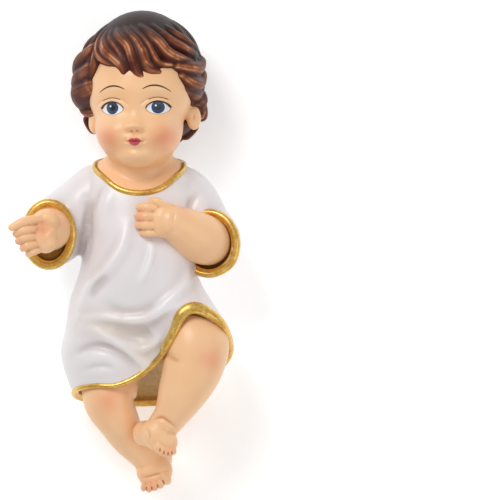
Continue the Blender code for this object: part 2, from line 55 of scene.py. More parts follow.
SHARE = FIGURE_LENGTH / 100
MM = 0.001
print(f"figure {FIGURE_LENGTH / MM:.1f} mm long, one hundredth is {SHARE / MM:.3f} mm")

# %% [markdown]
# ## Curves through a few stations
#
# A body is described best by a few stations: a place and a radius at the wrist, the elbow, the
# knee. A smooth curve through them gives every place between. A Hermite curve does that without
# the overshoot of a high polynomial, and it can close on itself for a neckline or a hem.


# %% Smooth curves through given values
def through(keys, values, wanted, period=None):
    """Values at wanted, on a smooth curve through the values at keys. A period closes the curve."""
    keys = np.asarray(keys, float)
    values = np.asarray(values, float)
    wanted = np.asarray(wanted, float)
    if period:
        keys = np.concatenate([keys - period, keys, keys + period])
        values = np.concatenate([values] * 3)
    slopes = np.gradient(values, keys, axis=0)
    index = np.clip(np.searchsorted(keys, wanted) - 1, 0, len(keys) - 2)
    step = keys[index + 1] - keys[index]
    t = np.clip((wanted - keys[index]) / step, 0, 1)
    if values.ndim > 1:
        t = t[..., None]
        step = step[..., None]
    rise = (2 * t**3 - 3 * t**2 + 1) * values[index] + (3 * t**2 - 2 * t**3) * values[index + 1]
    lean = (t**3 - 2 * t**2 + t) * slopes[index] + (t**3 - t**2) * slopes[index + 1]
    return rise + lean * step


def smooth_path(stations, steps):
    """Stations on a smooth curve through the given ones, steps for each stretch."""
    stations = np.asarray(stations, float)
    keys = np.arange(len(stations))
    return through(keys, stations, np.linspace(0, len(stations) - 1, (len(stations) - 1) * steps + 1))


def unit(vectors):
    """Vectors scaled to a length of one."""
    return vectors / np.linalg.norm(vectors, axis=-1, keepdims=True)


def blend_in(edge0, edge1, values):
    """0 before edge0, 1 after edge1, and a soft step between."""
    t = np.clip((values - edge0) / (edge1 - edge0), 0, 1)
    return t * t * (3 - 2 * t)


def bell(away, reach):
    """1 at no distance, and softly down to 0 past the reach."""
    return np.exp(-((away / reach) ** 2))


def dab(x, y, middle_x, middle_y, reach_x, reach_y):
    """1 at a place, and softly down to 0 past its reach on both sides of it and along."""
    return bell(x - middle_x, reach_x) * bell(y - middle_y, reach_y)


# %% [markdown]
# ## The working tools
#
# Every operator works on what is selected, so a piece is always picked alone first. The forms are
# written in hundredths of the figure's length, and these helpers turn them to metres and back.


# %% Pick a piece, read its points, move them, keep a value on them
def pick(*pieces):
    """Selects only these pieces, and makes the first one active."""
    bpy.ops.object.select_all(action="DESELECT")
    for piece in pieces:
        piece.select_set(True)
    bpy.context.view_layer.objects.active = pieces[0]
    return pieces[0]


def points_of(piece):
    """A piece's points and their normals, in hundredths of the length."""
    count = len(piece.data.vertices)
    points = np.empty(count * 3, np.float32)
    normals = np.empty(count * 3, np.float32)
    piece.data.vertices.foreach_get("co", points)
    piece.data.vertices.foreach_get("normal", normals)
    return points.reshape(-1, 3) / SHARE, normals.reshape(-1, 3)


def move_points(piece, points):
    """Gives a piece's points new places, in hundredths of the length."""
    piece.data.vertices.foreach_set("co", (points * SHARE).astype(np.float32).ravel())
    piece.data.update()


def keep_value(piece, name, values):
    """Stores a number on each point, for a paint to read."""
    layer = piece.data.attributes.new(name, "FLOAT", "POINT")
    layer.data.foreach_set("value", np.asarray(values, np.float32))


# %% [markdown]
# ## Primitives that become limbs
#
# A knee or a palm starts as a sphere, stretched. A limb, a sleeve or a lock of hair starts as a
# flat grid that is rolled round its path, ring by ring, then welded along its seam and drawn
# together at both ends. A skin modifier would be quicker, but it can't follow an oval cuff.


# %% A rounded mass and a rolled tube
def mass(name, middle, half_sizes, turned=0):
    """A rounded mass, as a stretched sphere turned about +Z by degrees."""
    bpy.ops.mesh.primitive_uv_sphere_add(
        segments=48,
        ring_count=32,
        radius=1,
        location=[value * SHARE for value in middle],
        rotation=(0, 0, math.radians(turned)),
        scale=[value * SHARE for value in half_sizes],
    )
    ball = pick(bpy.context.object)
    ball.name = name
    bpy.ops.object.transform_apply(location=True, rotation=True, scale=True)
    return ball


def tube(name, rings):
    """A closed skin through rings that have the same number of points, drawn together at both ends."""
    rings = np.asarray(rings, float)
    ends = [np.repeat(ring.mean(0)[None], len(ring), 0) for ring in (rings[0], rings[-1])]
    rings = np.concatenate([[ends[0]], rings, [ends[1]]])
    rows, sides = rings.shape[:2]
    bpy.ops.mesh.primitive_grid_add(x_subdivisions=sides, y_subdivisions=rows - 1, size=1)
    sheet = pick(bpy.context.object)
    sheet.name = name
    flat = points_of(sheet)[0] * SHARE
    column = np.rint((flat[:, 0] + 0.5) * sides).astype(int) % sides
    row = np.rint((flat[:, 1] + 0.5) * (rows - 1)).astype(int)
    move_points(sheet, rings[row, column])
    bpy.ops.object.mode_set(mode="EDIT")
    bpy.ops.mesh.select_all(action="SELECT")
    bpy.ops.mesh.remove_doubles(threshold=0.001 * MM)
    bpy.ops.mesh.normals_make_consistent(inside=False)
    bpy.ops.object.mode_set(mode="OBJECT")
    return sheet


def cross_frames(path):
    """Two directions across a path at each of its points, turning as little as they can."""
    ahead = unit(np.gradient(path, axis=0))
    start = np.cross(ahead[0], (0.0, 0.0, 1.0))
    if np.linalg.norm(start) < 0.2:
        start = np.cross(ahead[0], (1.0, 0.0, 0.0))
    side = unit(start)
    sides = []
    for direction in ahead:
        side = unit(side - direction * (side @ direction))
        sides.append(side)
    sides = np.array(sides)
    return sides, np.cross(ahead, sides)


def limb(name, stations, steps=8, sides=40):
    """A round limb through stations of place and radius, with rounded ends."""
    path = smooth_path(stations, steps)
    caps = []
    for end, inner in ((path[0], path[1]), (path[-1], path[-2])):
        out = unit(end[:3] - inner[:3])
        angles = (0.4, 0.8, 1.15, 1.4)
        caps.append([[*(end[:3] + out * end[3] * math.sin(a)), end[3] * math.cos(a)] for a in angles])
    path = np.vstack([caps[0][::-1], path, caps[1]])
    side, other = cross_frames(path[:, :3])
    turn = np.arange(sides) * 2 * math.pi / sides
    circle = np.cos(turn)[None, :, None] * side[:, None] + np.sin(turn)[None, :, None] * other[:, None]
    return tube(name, path[:, None, :3] + circle * path[:, None, 3:4])


# %% [markdown]
# ## Fusing, softening and reading the hollows
#
# Cast resin has no seams where an arm meets a hand. A voxel remesh joins the overlapping masses
# into one skin, and a Smooth modifier takes off the steps that the voxels leave. The paints darken
# the hollows as painted shade, and some lighten the ridges as painted highlight, so the depth of
# each hollow is measured: it is how far a point lies under the average of what is round it.


# %% Fuse, soften, and measure the hollows
def fuse(name, pieces, grain, repeats):
    """One closed skin out of overlapping pieces, grain millimetres fine, softened that often."""
    joined = pick(*pieces)
    if len(pieces) > 1:
        bpy.ops.object.join()
    joined.name = name
    remesh = joined.modifiers.new("Fuse", "REMESH")
    remesh.mode = "VOXEL"
    remesh.voxel_size = grain * MM
    bpy.ops.object.modifier_apply(modifier=remesh.name)
    return soften(joined, repeats)


def soften(piece, repeats):
    """Softens a form, as a thumb does clay."""
    pick(piece)
    smooth = piece.modifiers.new("Soften", "SMOOTH")
    smooth.factor = 0.5
    smooth.iterations = repeats
    bpy.ops.object.modifier_apply(modifier=smooth.name)
    return piece


def neighbours_mean(piece):
    """A function that averages values over each point's neighbours."""
    edges = np.empty(len(piece.data.edges) * 2, np.int32)
    piece.data.edges.foreach_get("vertices", edges)
    one, two = edges.reshape(-1, 2).T
    count = len(piece.data.vertices)
    share = np.bincount(one, minlength=count) + np.bincount(two, minlength=count)
    share = np.maximum(share, 1)

    def mean(values):
        columns = []
        for column in values.T:
            total = np.bincount(one, column[two], count) + np.bincount(two, column[one], count)
            columns.append(total / share)
        return np.stack(columns, axis=1)

    return mean


def hollows(piece, repeats):
    """How deep each point lies in a hollow, in hundredths of the length. Ridges are below 0."""
    points, normals = points_of(piece)
    mean = neighbours_mean(piece)
    spread = points.astype(float)
    for _ in range(repeats):
        spread = mean(spread)
    return ((spread - points) * normals).sum(1)


def distance_along(points, line):
    """How far points are from a line of two or more points, and how far along it the nearest is, 0 to 1."""
    line = np.asarray(line, float)
    best = np.full(len(points), np.inf)
    share = np.zeros(len(points))
    stretches = len(line) - 1
    for index in range(stretches):
        start, way = line[index], line[index + 1] - line[index]
        t = np.clip(((points - start) @ way) / (way @ way), 0, 1)
        away = np.linalg.norm(points - start - t[:, None] * way, axis=1)
        nearer = away < best
        best = np.where(nearer, away, best)
        share = np.where(nearer, (index + t) / stretches, share)
    return best, share


# %% [markdown]
# ## Paints
#
# The figure is painted with acrylics over a white ground. Colours are given as the sRGB hex values
# that a painter would read off a chart, and one function turns them to the linear values that the
# shader works in. One more adds a node with its settings and its links.


# %% Colour and node helpers
def colour(code):
    """An sRGB hex value as the linear colour that a shader takes."""
    values = np.array([int(code[place : place + 2], 16) / 255 for place in (1, 3, 5)])
    linear = np.where(values <= 0.04045, values / 12.92, ((values + 0.055) / 1.055) ** 2.4)
    return [*linear.tolist(), 1]


def add_node(tree, kind, settings, inputs):
    """Adds a node with its settings. An input takes a value, or the output of another node."""
    made = tree.nodes.new(kind)
    for name, value in settings.items():
        setattr(made, name, value)
    for name, value in inputs.items():
        if isinstance(value, bpy.types.NodeSocket):
            tree.links.new(value, made.inputs[name])
        else:
            made.inputs[name].default_value = value
    return made


# %% A material to start from, coats of paint, and masks for them
def start_paint(name, fixed):
    """A material with its plain shader values set, its tree, its shader and its object coordinates."""
    material = bpy.data.materials.new(name)
    material.use_nodes = True
    tree = material.node_tree
    shader = tree.nodes["Principled BSDF"]
    for socket, value in fixed.items():
        shader.inputs[socket].default_value = value
    place = add_node(tree, "ShaderNodeTexCoord", {}, {}).outputs["Object"]
    return material, tree, shader, place


def layered(tree, ground, coats):
    """A ground colour with coats of paint over it. Each coat is a mask and a colour."""
    result = ground
    for mask, coat in coats:
        mix = add_node(tree, "ShaderNodeMix", {"data_type": "RGBA"}, {0: mask, 6: result, 7: coat})
        result = mix.outputs[2]
    return result


def stored(tree, name, low, high, amount=1.0):
    """A mask that rises from 0 to amount as a value stored on the points goes from low to high."""
    value = add_node(tree, "ShaderNodeAttribute", {"attribute_name": name}, {}).outputs["Fac"]
    limits = {"Value": value, "From Min": low, "From Max": high, "To Max": amount}
    return add_node(tree, "ShaderNodeMapRange", {"clamp": True}, limits).outputs["Result"]


def mottled(tree, place, size_mm, low, high, amount=1.0, detail=4):
    """A mask of soft patches of about that size."""
    inputs = {"Vector": place, "Scale": 1 / (size_mm * MM), "Detail": detail}
    noise = add_node(tree, "ShaderNodeTexNoise", {}, inputs).outputs["Fac"]
    limits = {"Value": noise, "From Min": low, "From Max": high, "To Max": amount}
    return add_node(tree, "ShaderNodeMapRange", {"clamp": True}, limits).outputs["Result"]


def grainy(tree, shader, place, patch_mm, rough, grain_mm, strength, deep_mm=0.05, detail=3):
    """Roughness that varies from patch to patch between two values, and a fine bump of paint grains."""
    patches = mottled(tree, place, patch_mm, 0.3, 0.7)
    limits = {"Value": patches, "To Min": rough[0], "To Max": rough[1]}
    spread = add_node(tree, "ShaderNodeMapRange", {}, limits)
    tree.links.new(spread.outputs["Result"], shader.inputs["Roughness"])
    # Real grains are 0.1 to 0.3 mm, too fine to show, so each paint draws them a few times as coarse.
    inputs = {"Vector": place, "Scale": 1 / (grain_mm * MM), "Detail": detail}
    grain = add_node(tree, "ShaderNodeTexNoise", {}, inputs).outputs["Fac"]
    height = {"Strength": strength, "Distance": deep_mm * MM, "Height": grain}
    bump = add_node(tree, "ShaderNodeBump", {}, height)
    tree.links.new(bump.outputs["Normal"], shader.inputs["Normal"])


# %% [markdown]
# ### Flesh
#
# Matt flesh acrylic over resin, under a satin varnish. It is sprayed, so it is even, with a warm
# painted shade in the creases and a blush dabbed on cheeks, knees and knuckles. Acrylic has an index
# of about 1.49, and the varnish gives broad soft highlights.


# %% The flesh paint
def make_flesh():
    """Flesh paint, with painted shade in the hollows, a blush and the painted face."""
    fixed = {"IOR": 1.49, "Coat Weight": 0.25, "Coat Roughness": 0.28, "Coat IOR": 1.5}
    material, tree, shader, place = start_paint("flesh_acrylic", fixed)
    coats = [
        (mottled(tree, place, 9, 0.35, 0.7, 0.35), colour("#FDD3A8")),
        (stored(tree, "warmth", 0.0, 1.0, 0.5), colour("#E0A369")),
        # Painted shade: a warm darker tone in the creases and hollows.
        (stored(tree, "hollow", 0.01, 0.16, 0.8), colour("#CE8248")),
        (stored(tree, "blush", 0.0, 1.0, 0.66), colour("#EE8560")),
        (stored(tree, "lips", 0.3, 0.7), colour("#CB4F62")),
        (stored(tree, "eye_white", 0.4, 0.6), colour("#F1F0F2")),
        (stored(tree, "iris", 0.4, 0.6), colour("#1D3F66")),
        (stored(tree, "pupil", 0.4, 0.6), colour("#0B0D12")),
        (stored(tree, "liner", 0.3, 0.7), colour("#3A1D14")),
        (stored(tree, "glint", 0.4, 0.6), colour("#FFFFFF")),
        (stored(tree, "crease", 0.3, 0.8, 0.85), colour("#9A4A26")),
    ]
    tree.links.new(layered(tree, colour("#FBC896"), coats), shader.inputs["Base Color"])
    grainy(tree, shader, place, patch_mm=3, rough=(0.38, 0.5), grain_mm=0.6, strength=0.12)
    return material


FLESH = make_flesh()
print("paint ready:", FLESH.name)

# %% [markdown]
# ### Pearl white cloth
#
# The robe is sprayed with white acrylic that holds fine mica. Mica makes the highlights broad and
# silky. The hollows of the folds are greyed as painted shade, their ridges lightened as painted
# highlight, and two given places low on the front, where the cloth faces up, are tinted cream.


# %% The pearl paint
def make_pearl():
    """Pearl white paint, with painted shade in the hollows, painted highlight on the ridges, and cream in
    places.
    """
    fixed = {"IOR": 1.5, "Coat Weight": 0.35, "Coat Roughness": 0.3, "Coat IOR": 1.5}
    fixed |= {"Sheen Weight": 0.08, "Sheen Roughness": 0.4}
    material, tree, shader, place = start_paint("pearl_acrylic", fixed)
    coats = [
        (mottled(tree, place, 22, 0.35, 0.7, 0.5), colour("#EFE9EA")),
        # Painted shade in the hollows of the folds, and painted highlight on their ridges.
        (stored(tree, "hollow", 0.0, 0.3, 0.75), colour("#D3C9C6")),
        (stored(tree, "hollow", 0.0, -0.3, 0.6), colour("#F4F1F2")),
        (stored(tree, "cream_tint", 0.0, 1.0, 0.75), colour("#E6D8C8")),
    ]
    tree.links.new(layered(tree, colour("#E8E2E4"), coats), shader.inputs["Base Color"])
    grainy(tree, shader, place, patch_mm=2.5, rough=(0.36, 0.46), grain_mm=0.7, strength=0.1)
    return material


PEARL = make_pearl()
print("paint ready:", PEARL.name)

# %% [markdown]
# ### Gold
#
# Gold here is bronze powder in clear lacquer, brushed on by hand. It shines like metal but a little
# rough, and it goes browner in patches where the brush left it thin. The grooves along its edges
# are darkened to brown and olive as painted shade. The brush was small, so the lighter flecks that
# it leaves are under 2 mm across.


# %% The gold paint
def make_gold():
    """Gold lacquer, browner where it is thin, with painted shade in its grooves."""
    material, tree, shader, place = start_paint("gold_lacquer", {"Coat Weight": 0.3, "Coat Roughness": 0.2})
    coats = [
        (mottled(tree, place, 1.6, 0.4, 0.65, 0.6), colour("#F4D686")),
        (mottled(tree, place, 5, 0.45, 0.7, 0.4), colour("#B88C38")),
        # Painted shade in the grooves along the edges.
        (stored(tree, "groove", 0.0, 1.0, 0.7), colour("#6B4A1C")),
    ]
    tree.links.new(layered(tree, colour("#E0B04C"), coats), shader.inputs["Base Color"])
    shader.inputs["Metallic"].default_value = 0.75
    grain = {"grain_mm": 0.8, "strength": 0.35, "deep_mm": 0.08, "detail": 4}
    grainy(tree, shader, place, patch_mm=1.2, rough=(0.24, 0.42), **grain)
    return material


GOLD = make_gold()
print("paint ready:", GOLD.name)

# %% [markdown]
# ### Hair
#
# The hair is laid in almost black brown, and copper is then dragged over it with a dry brush. The
# brush only touches the ridges, and it was used most on the curls and the fringe, so the crown stays
# dark. On the ridges the copper is partly that paint and partly a painted highlight, lightest where it
# is thickest, with a thin grey painted highlight beside some strands and painted shade in the grooves.
# The strands follow each lock, so the streaks read the value stored across the lock.


# %% The hair paint
# A dry brush leaves streaks 0.3 to 0.5 mm wide. A pixel of the picture covers 0.42 mm, so they are
# drawn about 1 mm wide, as coarse as they need to be to show.
STRANDS_PER_MM = 0.9


def make_hair_paint():
    """Dark brown, with copper streaks on the ridges, partly paint and partly painted highlight, and painted
    shade in the grooves.
    """
    fixed = {"IOR": 1.49, "Specular IOR Level": 0.2, "Coat Weight": 0.04, "Coat Roughness": 0.35}
    material, tree, shader, place = start_paint("hair_acrylic", fixed)
    across = add_node(tree, "ShaderNodeAttribute", {"attribute_name": "across"}, {}).outputs["Fac"]
    strand = {"W": across, "Scale": STRANDS_PER_MM, "Detail": 3}
    strands = add_node(tree, "ShaderNodeTexNoise", {"noise_dimensions": "1D"}, strand).outputs["Fac"]
    # The copper is partly dry-brushed paint and partly a painted highlight on the ridges.
    # Copper: streaks, broken by patches where the brush was dry, and only where it touched.
    limits = {"Value": strands, "From Min": 0.4, "From Max": 0.66, "To Min": 0.3}
    streaks = add_node(tree, "ShaderNodeMapRange", {"clamp": True}, limits).outputs["Result"]
    patches = mottled(tree, place, 8, 0.3, 0.56, 1.0, 2)
    product = {"operation": "MULTIPLY"}
    broken = add_node(tree, "ShaderNodeMath", product, {0: streaks, 1: patches}).outputs[0]
    touched = stored(tree, "copper", 0.0, 1.0)
    copper_and_highlight = add_node(tree, "ShaderNodeMath", product, {0: broken, 1: touched}).outputs[0]
    # A painted highlight: where the copper is thickest it is lighter still.
    limits = {"Value": copper_and_highlight, "From Min": 0.5, "From Max": 0.95, "To Max": 0.75}
    brightest_highlight = add_node(tree, "ShaderNodeMapRange", {"clamp": True}, limits).outputs["Result"]
    # A thin grey painted highlight stands beside some strands, on the locks alone.
    limits = {"Value": strands, "From Min": 0.58, "From Max": 0.68, "To Max": 0.4}
    edges = add_node(tree, "ShaderNodeMapRange", {"clamp": True}, limits).outputs["Result"]
    on_lock = stored(tree, "lock", 0.0, 1.0)
    strand_highlights = add_node(tree, "ShaderNodeMath", product, {0: edges, 1: on_lock}).outputs[0]
    coats = [
        (strand_highlights, colour("#5B4440")),
        (stored(tree, "red", 0.0, 1.0, 0.85), colour("#5E2415")),
        (copper_and_highlight, colour("#CB7F4F")),
        (brightest_highlight, colour("#EBB48C")),
        # Painted shade in the grooves between the locks.
        (stored(tree, "hollow", 0.02, 0.26, 0.9), colour("#1B0D0E")),
    ]
    tree.links.new(layered(tree, colour("#2A1819"), coats), shader.inputs["Base Color"])
    shader.inputs["Roughness"].default_value = 0.44
    carved = {"Strength": stored(tree, "lock", 0.0, 1.0, 0.5), "Distance": 0.25 * MM, "Height": strands}
    bump = add_node(tree, "ShaderNodeBump", {}, carved)
    tree.links.new(bump.outputs["Normal"], shader.inputs["Normal"])
    return material


HAIR_PAINT = make_hair_paint()
print("paint ready:", HAIR_PAINT.name)

# %% [markdown]
# ## Arms and legs
#
# An infant's limb is soft and padded: thick at the knee and the forearm, and tight at the wrist and
# the ankle. Each one here is a round path, with rounded masses for the palm, the heel and the ball of
# the foot. Box modelling would need many loops for the creases, and fused rounds give them at once.

# %% The limbs' stations, in hundredths of the length
RIGHT_FOREARM = (
    (-13.1, 4.2, 10.3, 4.5), (-15.0, 4.6, 16.5, 4.5), (-15.6, 4.5, 21.0, 4.4), (-16.2, 4.2, 24.4, 3.6),
)
LEFT_FOREARM = (
    (17.6, 1.9, 13.0, 4.5), (16.9, 2.1, 16.9, 5.0), (15.0, 3.0, 19.6, 5.1),
    (12.2, 4.7, 21.9, 4.4), (9.6, 6.2, 23.9, 3.5),
)
RIGHT_LEG = (
    (-2.8, -19.3, 11.5, 5.8), (-3.2, -27.5, 12.0, 5.9), (-3.2, -31.2, 13.0, 5.2), (-1.3, -35.1, 12.4, 4.3),
    (0.7, -38.5, 10.9, 3.7), (3.6, -41.7, 9.5, 3.2), (5.8, -44.2, 9.1, 2.9),
)
LEFT_LEG = (
    (6.0, -14.0, 11.5, 5.4), (11.4, -15.6, 15.0, 6.0), (14.4, -18.7, 17.9, 6.9), (13.9, -23.8, 18.8, 6.3),
    (11.6, -29.4, 19.1, 5.0), (9.4, -33.7, 18.6, 3.6), (7.5, -36.2, 18.1, 3.2),
)
# Rounded masses of hands and feet: place, half sizes, and degrees turned about +Z.
RIGHT_HAND = (
    ((-17.0, 4.0, 26.6), (3.3, 3.9, 2.6), 0),
    ((-15.8, 6.4, 26.6), (2.5, 2.3, 2.3), 0),
    ((-16.1, 1.9, 26.4), (2.5, 2.3, 2.2), 0),
)
LEFT_HAND = (((8.2, 6.4, 24.0), (3.4, 3.7, 2.5), 0),)
RIGHT_FOOT = (((6.1, -42.8, 7.6), (3.6, 3.4, 3.4), 0), ((6.0, -45.2, 9.9), (3.8, 3.6, 2.4), 10))
LEFT_FOOT = (
    ((4.2, -37.4, 16.2), (2.7, 2.7, 2.9), 0),
    ((6.7, -37.7, 18.6), (3.8, 3.2, 3.2), -35),
    ((8.1, -38.9, 19.5), (2.9, 2.4, 2.1), -20),
)
# Fingers and toes: base, middle, tip and radius.
RIGHT_FINGERS = (
    ((-16.6, 6.6, 27.8), (-20.2, 6.2, 29.9), (-22.9, 4.9, 30.2), 0.95),
    ((-18.0, 4.8, 28.3), (-20.6, 4.4, 29.8), (-22.1, 3.6, 28.9), 0.92),
    ((-18.0, 3.2, 27.9), (-20.4, 2.8, 29.4), (-21.6, 2.1, 28.4), 0.92),
    ((-17.8, 1.7, 27.5), (-19.8, 1.2, 28.9), (-20.7, 0.6, 28.0), 0.9),
    ((-17.4, 0.4, 27.0), (-18.8, -0.1, 28.0), (-19.6, -0.6, 27.4), 0.8),
)
LEFT_FINGERS = (
    ((6.4, 9.0, 24.8), (4.3, 9.1, 25.0), (2.9, 9.0, 23.4), 0.9),
    ((6.4, 7.2, 25.0), (4.0, 7.2, 25.2), (2.6, 7.2, 23.4), 0.92),
    ((6.4, 5.4, 24.9), (4.1, 5.4, 25.1), (2.7, 5.4, 23.3), 0.9),
    ((6.6, 3.8, 24.4), (4.8, 3.8, 24.6), (3.5, 3.8, 23.1), 0.8),
    ((8.8, 8.6, 24.6), (6.9, 10.2, 25.2), (5.4, 10.4, 24.6), 0.8),
)
RIGHT_TOES = (
    ((7.4, -45.6, 10.8), (8.3, -46.6, 11.2), (8.6, -47.2, 10.8), 1.15),
    ((6.7, -46.6, 11.0), (7.2, -47.8, 11.3), (7.3, -48.3, 10.8), 0.78),
    ((5.9, -47.0, 11.0), (6.0, -48.4, 11.2), (6.1, -48.8, 10.7), 0.74),
    ((5.0, -47.2, 10.8), (4.9, -48.7, 10.9), (4.9, -49.2, 10.4), 0.7),
    ((4.2, -47.2, 10.4), (3.8, -48.5, 10.3), (3.7, -49.0, 9.8), 0.66),
)
LEFT_TOES = (
    ((7.2, -38.9, 20.2), (6.9, -40.0, 20.7), (6.9, -40.5, 20.4), 1.0),
    ((7.8, -39.6, 20.6), (7.6, -40.8, 21.0), (7.6, -41.3, 20.6), 0.78),
    ((8.5, -39.9, 20.6), (8.5, -41.2, 20.9), (8.5, -41.6, 20.5), 0.74),
    ((9.2, -40.0, 20.4), (9.3, -41.3, 20.6), (9.3, -41.7, 20.2), 0.7),
    ((9.9, -39.7, 20.0), (10.0, -40.9, 20.1), (10.1, -41.2, 19.7), 0.66),
)

# Creases: points across and along the body, then reach and rise.
RIGHT_LEG_FOLDS = ((((3.0, -46.6), (4.6, -46.5), (6.2, -46.0), (7.4, -45.6)), 0.4, -0.3),)
LEFT_LEG_FOLDS = (
    (((8.2, -20.6), (9.4, -21.8), (11.4, -22.6)), 0.9, -0.4),
    (((5.6, -34.4), (7.2, -34.0), (8.8, -34.8), (10.8, -36.4)), 0.45, -0.35),
    (((4.2, -36.0), (5.0, -37.6), (5.2, -39.0)), 0.4, -0.25),
)
RIGHT_ARM_FOLDS = ((((-17.6, 5.2), (-16.4, 4.4), (-15.2, 3.4)), 1.5, -0.55),)
LEFT_ARM_FOLDS = ((((10.4, 8.4), (10.0, 6.4), (9.8, 3.4)), 0.5, -0.2),)
# Blushes: place and reach.
RIGHT_LEG_BLUSH = ((-3.6, -30.6, 18.0, 2.6), (5.4, -48.4, 10.8, 2.0))
LEFT_LEG_BLUSH = ((17.6, -22.0, 24.0, 2.6), (9.0, -41.0, 20.6, 1.6))
RIGHT_ARM_BLUSH = ((-16.6, 4.4, 28.6, 2.0), (-21.6, 1.4, 29.0, 1.8))
LEFT_ARM_BLUSH = ((3.2, 7.0, 25.0, 1.6), (11.6, 8.0, 24.4, 1.4))
print("fingers:", len(RIGHT_FINGERS) + len(LEFT_FINGERS), "toes:", len(RIGHT_TOES) + len(LEFT_TOES))

# %% [markdown]
# ## The robe
#
# The robe is one loose cloth body with two short sleeves. Its sections are ovals that are a little
# squarer than ellipses, because cloth spans between what carries it. The neckline and the hem are
# slanted: the hem climbs over the raised knee, and at the back it hangs lower.

# %% The robe's sections, its edges and its sleeves, in hundredths of the length
# Each section: height along the body, its left and right as seen from above, its back and its front.
ROBE_SECTIONS = (
    (-33.1, -8.4, 13.6, 0.6, 12.4),
    (-30.0, -10.4, 16.8, -0.2, 17.3),
    (-25.5, -12.3, 18.9, -0.4, 18.6),
    (-21.0, -13.3, 21.4, -0.4, 19.8),
    (-15.2, -12.2, 19.6, -0.4, 21.6),
    (-10.0, -11.4, 17.0, -0.4, 23.1),
    (-4.8, -9.7, 14.9, -0.4, 23.7),
    (0.3, -8.9, 15.2, -0.4, 23.3),
    (7.5, -8.6, 15.2, -0.2, 22.1),
    (12.1, -9.4, 15.4, 0.2, 21.0),
    (15.8, -8.1, 14.1, 1.4, 19.6),
    (17.8, -6.6, 12.5, 2.9, 17.7),
    (19.3, -4.4, 10.4, 5.4, 14.4),
)
# Where the neckline and the hem run: degrees round the body from its own left, then height.
NECKLINE = (
    (0, 18.3), (16, 18.1), (36, 16.9), (57, 15.2), (74, 13.1), (90, 12.2), (106, 13.1), (123, 15.2),
    (144, 16.9), (164, 18.1), (180, 18.4), (225, 19.1), (270, 19.3), (315, 19.1),
)
HEMLINE = (
    (0, -22.8), (22, -17.8), (40, -13.7), (52, -12.3), (63, -13.5), (73, -17.2), (81, -21.8), (89, -25.5),
    (100, -27.3), (125, -27.7), (155, -28.6), (185, -30.0), (215, -30.9), (245, -31.5), (270, -31.8),
    (300, -31.2), (325, -29.4), (342, -26.9),
)
# Cloth lifted by what is under it: place, reach sideways and lengthways, rise.
ROBE_MOUNDS = ((17.0, -15.5, 7.0, 7.0, 5.9), (-4.0, -24.0, 6.0, 5.0, 1.2))
# Sleeves, from the shoulder to the cuff: place, then the oval's half width and half height.
RIGHT_SLEEVE = (
    (-2.6, 15.0, 12.0, 3.6, 3.4),
    (-5.0, 13.2, 12.0, 5.4, 5.6),
    (-7.7, 10.2, 11.5, 6.3, 6.3),
    (-12.0, 6.2, 10.7, 6.6, 6.8),
    (-14.5, 4.0, 13.6, 5.5, 7.1),
    (-15.4, 3.6, 17.3, 4.9, 6.6),
    (-15.6, 3.5, 20.2, 4.9, 6.5),
)
LEFT_SLEEVE = (
    (8.2, 15.0, 12.0, 3.6, 3.4),
    (10.2, 13.1, 12.0, 5.4, 5.6),
    (13.0, 9.7, 11.8, 6.2, 6.4),
    (16.0, 5.2, 11.6, 6.1, 5.9),
    (17.6, 2.6, 13.2, 6.1, 6.2),
    (17.8, 1.7, 15.7, 6.0, 6.3),
    (17.1, 1.7, 17.7, 6.0, 6.4),
)
# The thickness of the cloth's edge and the depth of the hollows, from lengths in millimetres.
CLOTH_EDGE = 1.6 * MM / SHARE
CUFF_DEPTH = 4.5 * MM / SHARE
HEM_DEPTH = 3.5 * MM / SHARE
# How far the cloth stands off the knee, and how much squarer than an ellipse its sections are.
LIFT_OFF = 0.7
SQUARER = 0.84
# How fine the robe's skin is, in millimetres.
ROBE_GRAIN = 0.72
# Degrees round the body of the points in each of its rings.
HEM_TURN = np.arange(0, 360, 1.8)


# %% Rings for the body and the sleeves, with hollow ends
def top_of(stations, x, y):
    """How high a limb reaches over each place, or a very low value beside it."""
    height = np.full(len(x), -100.0)
    for place_x, place_y, place_z, radius in smooth_path(stations, 6):
        left = radius**2 - (x - place_x) ** 2 - (y - place_y) ** 2
        height = np.where(left > 0, np.maximum(height, place_z + np.sqrt(np.maximum(left, 0))), height)
    return height


def robe_rings(rows=150):
    """The robe's body, row by row from the neckline to the hem."""
    turn = np.radians(HEM_TURN)
    neck = through(*np.transpose(NECKLINE), HEM_TURN, 360)
    hem = through(*np.transpose(HEMLINE), HEM_TURN, 360)
    sections = np.array(ROBE_SECTIONS)
    across = np.sign(np.cos(turn)) * abs(np.cos(turn)) ** SQUARER
    upward = np.sign(np.sin(turn)) * abs(np.sin(turn)) ** SQUARER
    rings = []
    for row in range(rows + 1):
        y = neck + (hem - neck) * row / rows
        left, right, back, front = through(sections[:, 0], sections[:, 1:], y).T
        x = (left + right) / 2 + (right - left) / 2 * across
        z = (back + front) / 2 + (front - back) / 2 * upward
        for *spot, rise in ROBE_MOUNDS:
            push = rise * dab(x, y, *spot) * np.clip(upward + 0.2, 0, 1)
            x += push * across * 0.6
            z += push
        z = np.where(upward > 0, np.maximum(z, top_of(LEFT_LEG, x, y) + LIFT_OFF), z)
        rings.append(np.stack([x, y, z], axis=1))
    return np.array(rings)


def sleeve_rings(stations, sides=120):
    """Ovals along a sleeve's path, each across the path and standing along the body."""
    path = smooth_path(stations, 16)
    ahead = unit(np.gradient(path[:, :3], axis=0))
    along = unit(np.array([0.0, 1.0, 0.0]) - ahead * ahead[:, 1:2])
    across = np.cross(along, ahead)
    turn = np.arange(sides) * 2 * math.pi / sides
    rings = []
    for station, side_way, long_way in zip(path, across, along):
        oval = np.cos(turn)[:, None] * side_way * station[3] + np.sin(turn)[:, None] * long_way * station[4]
        rings.append(station[:3] + oval)
    return np.array(rings)


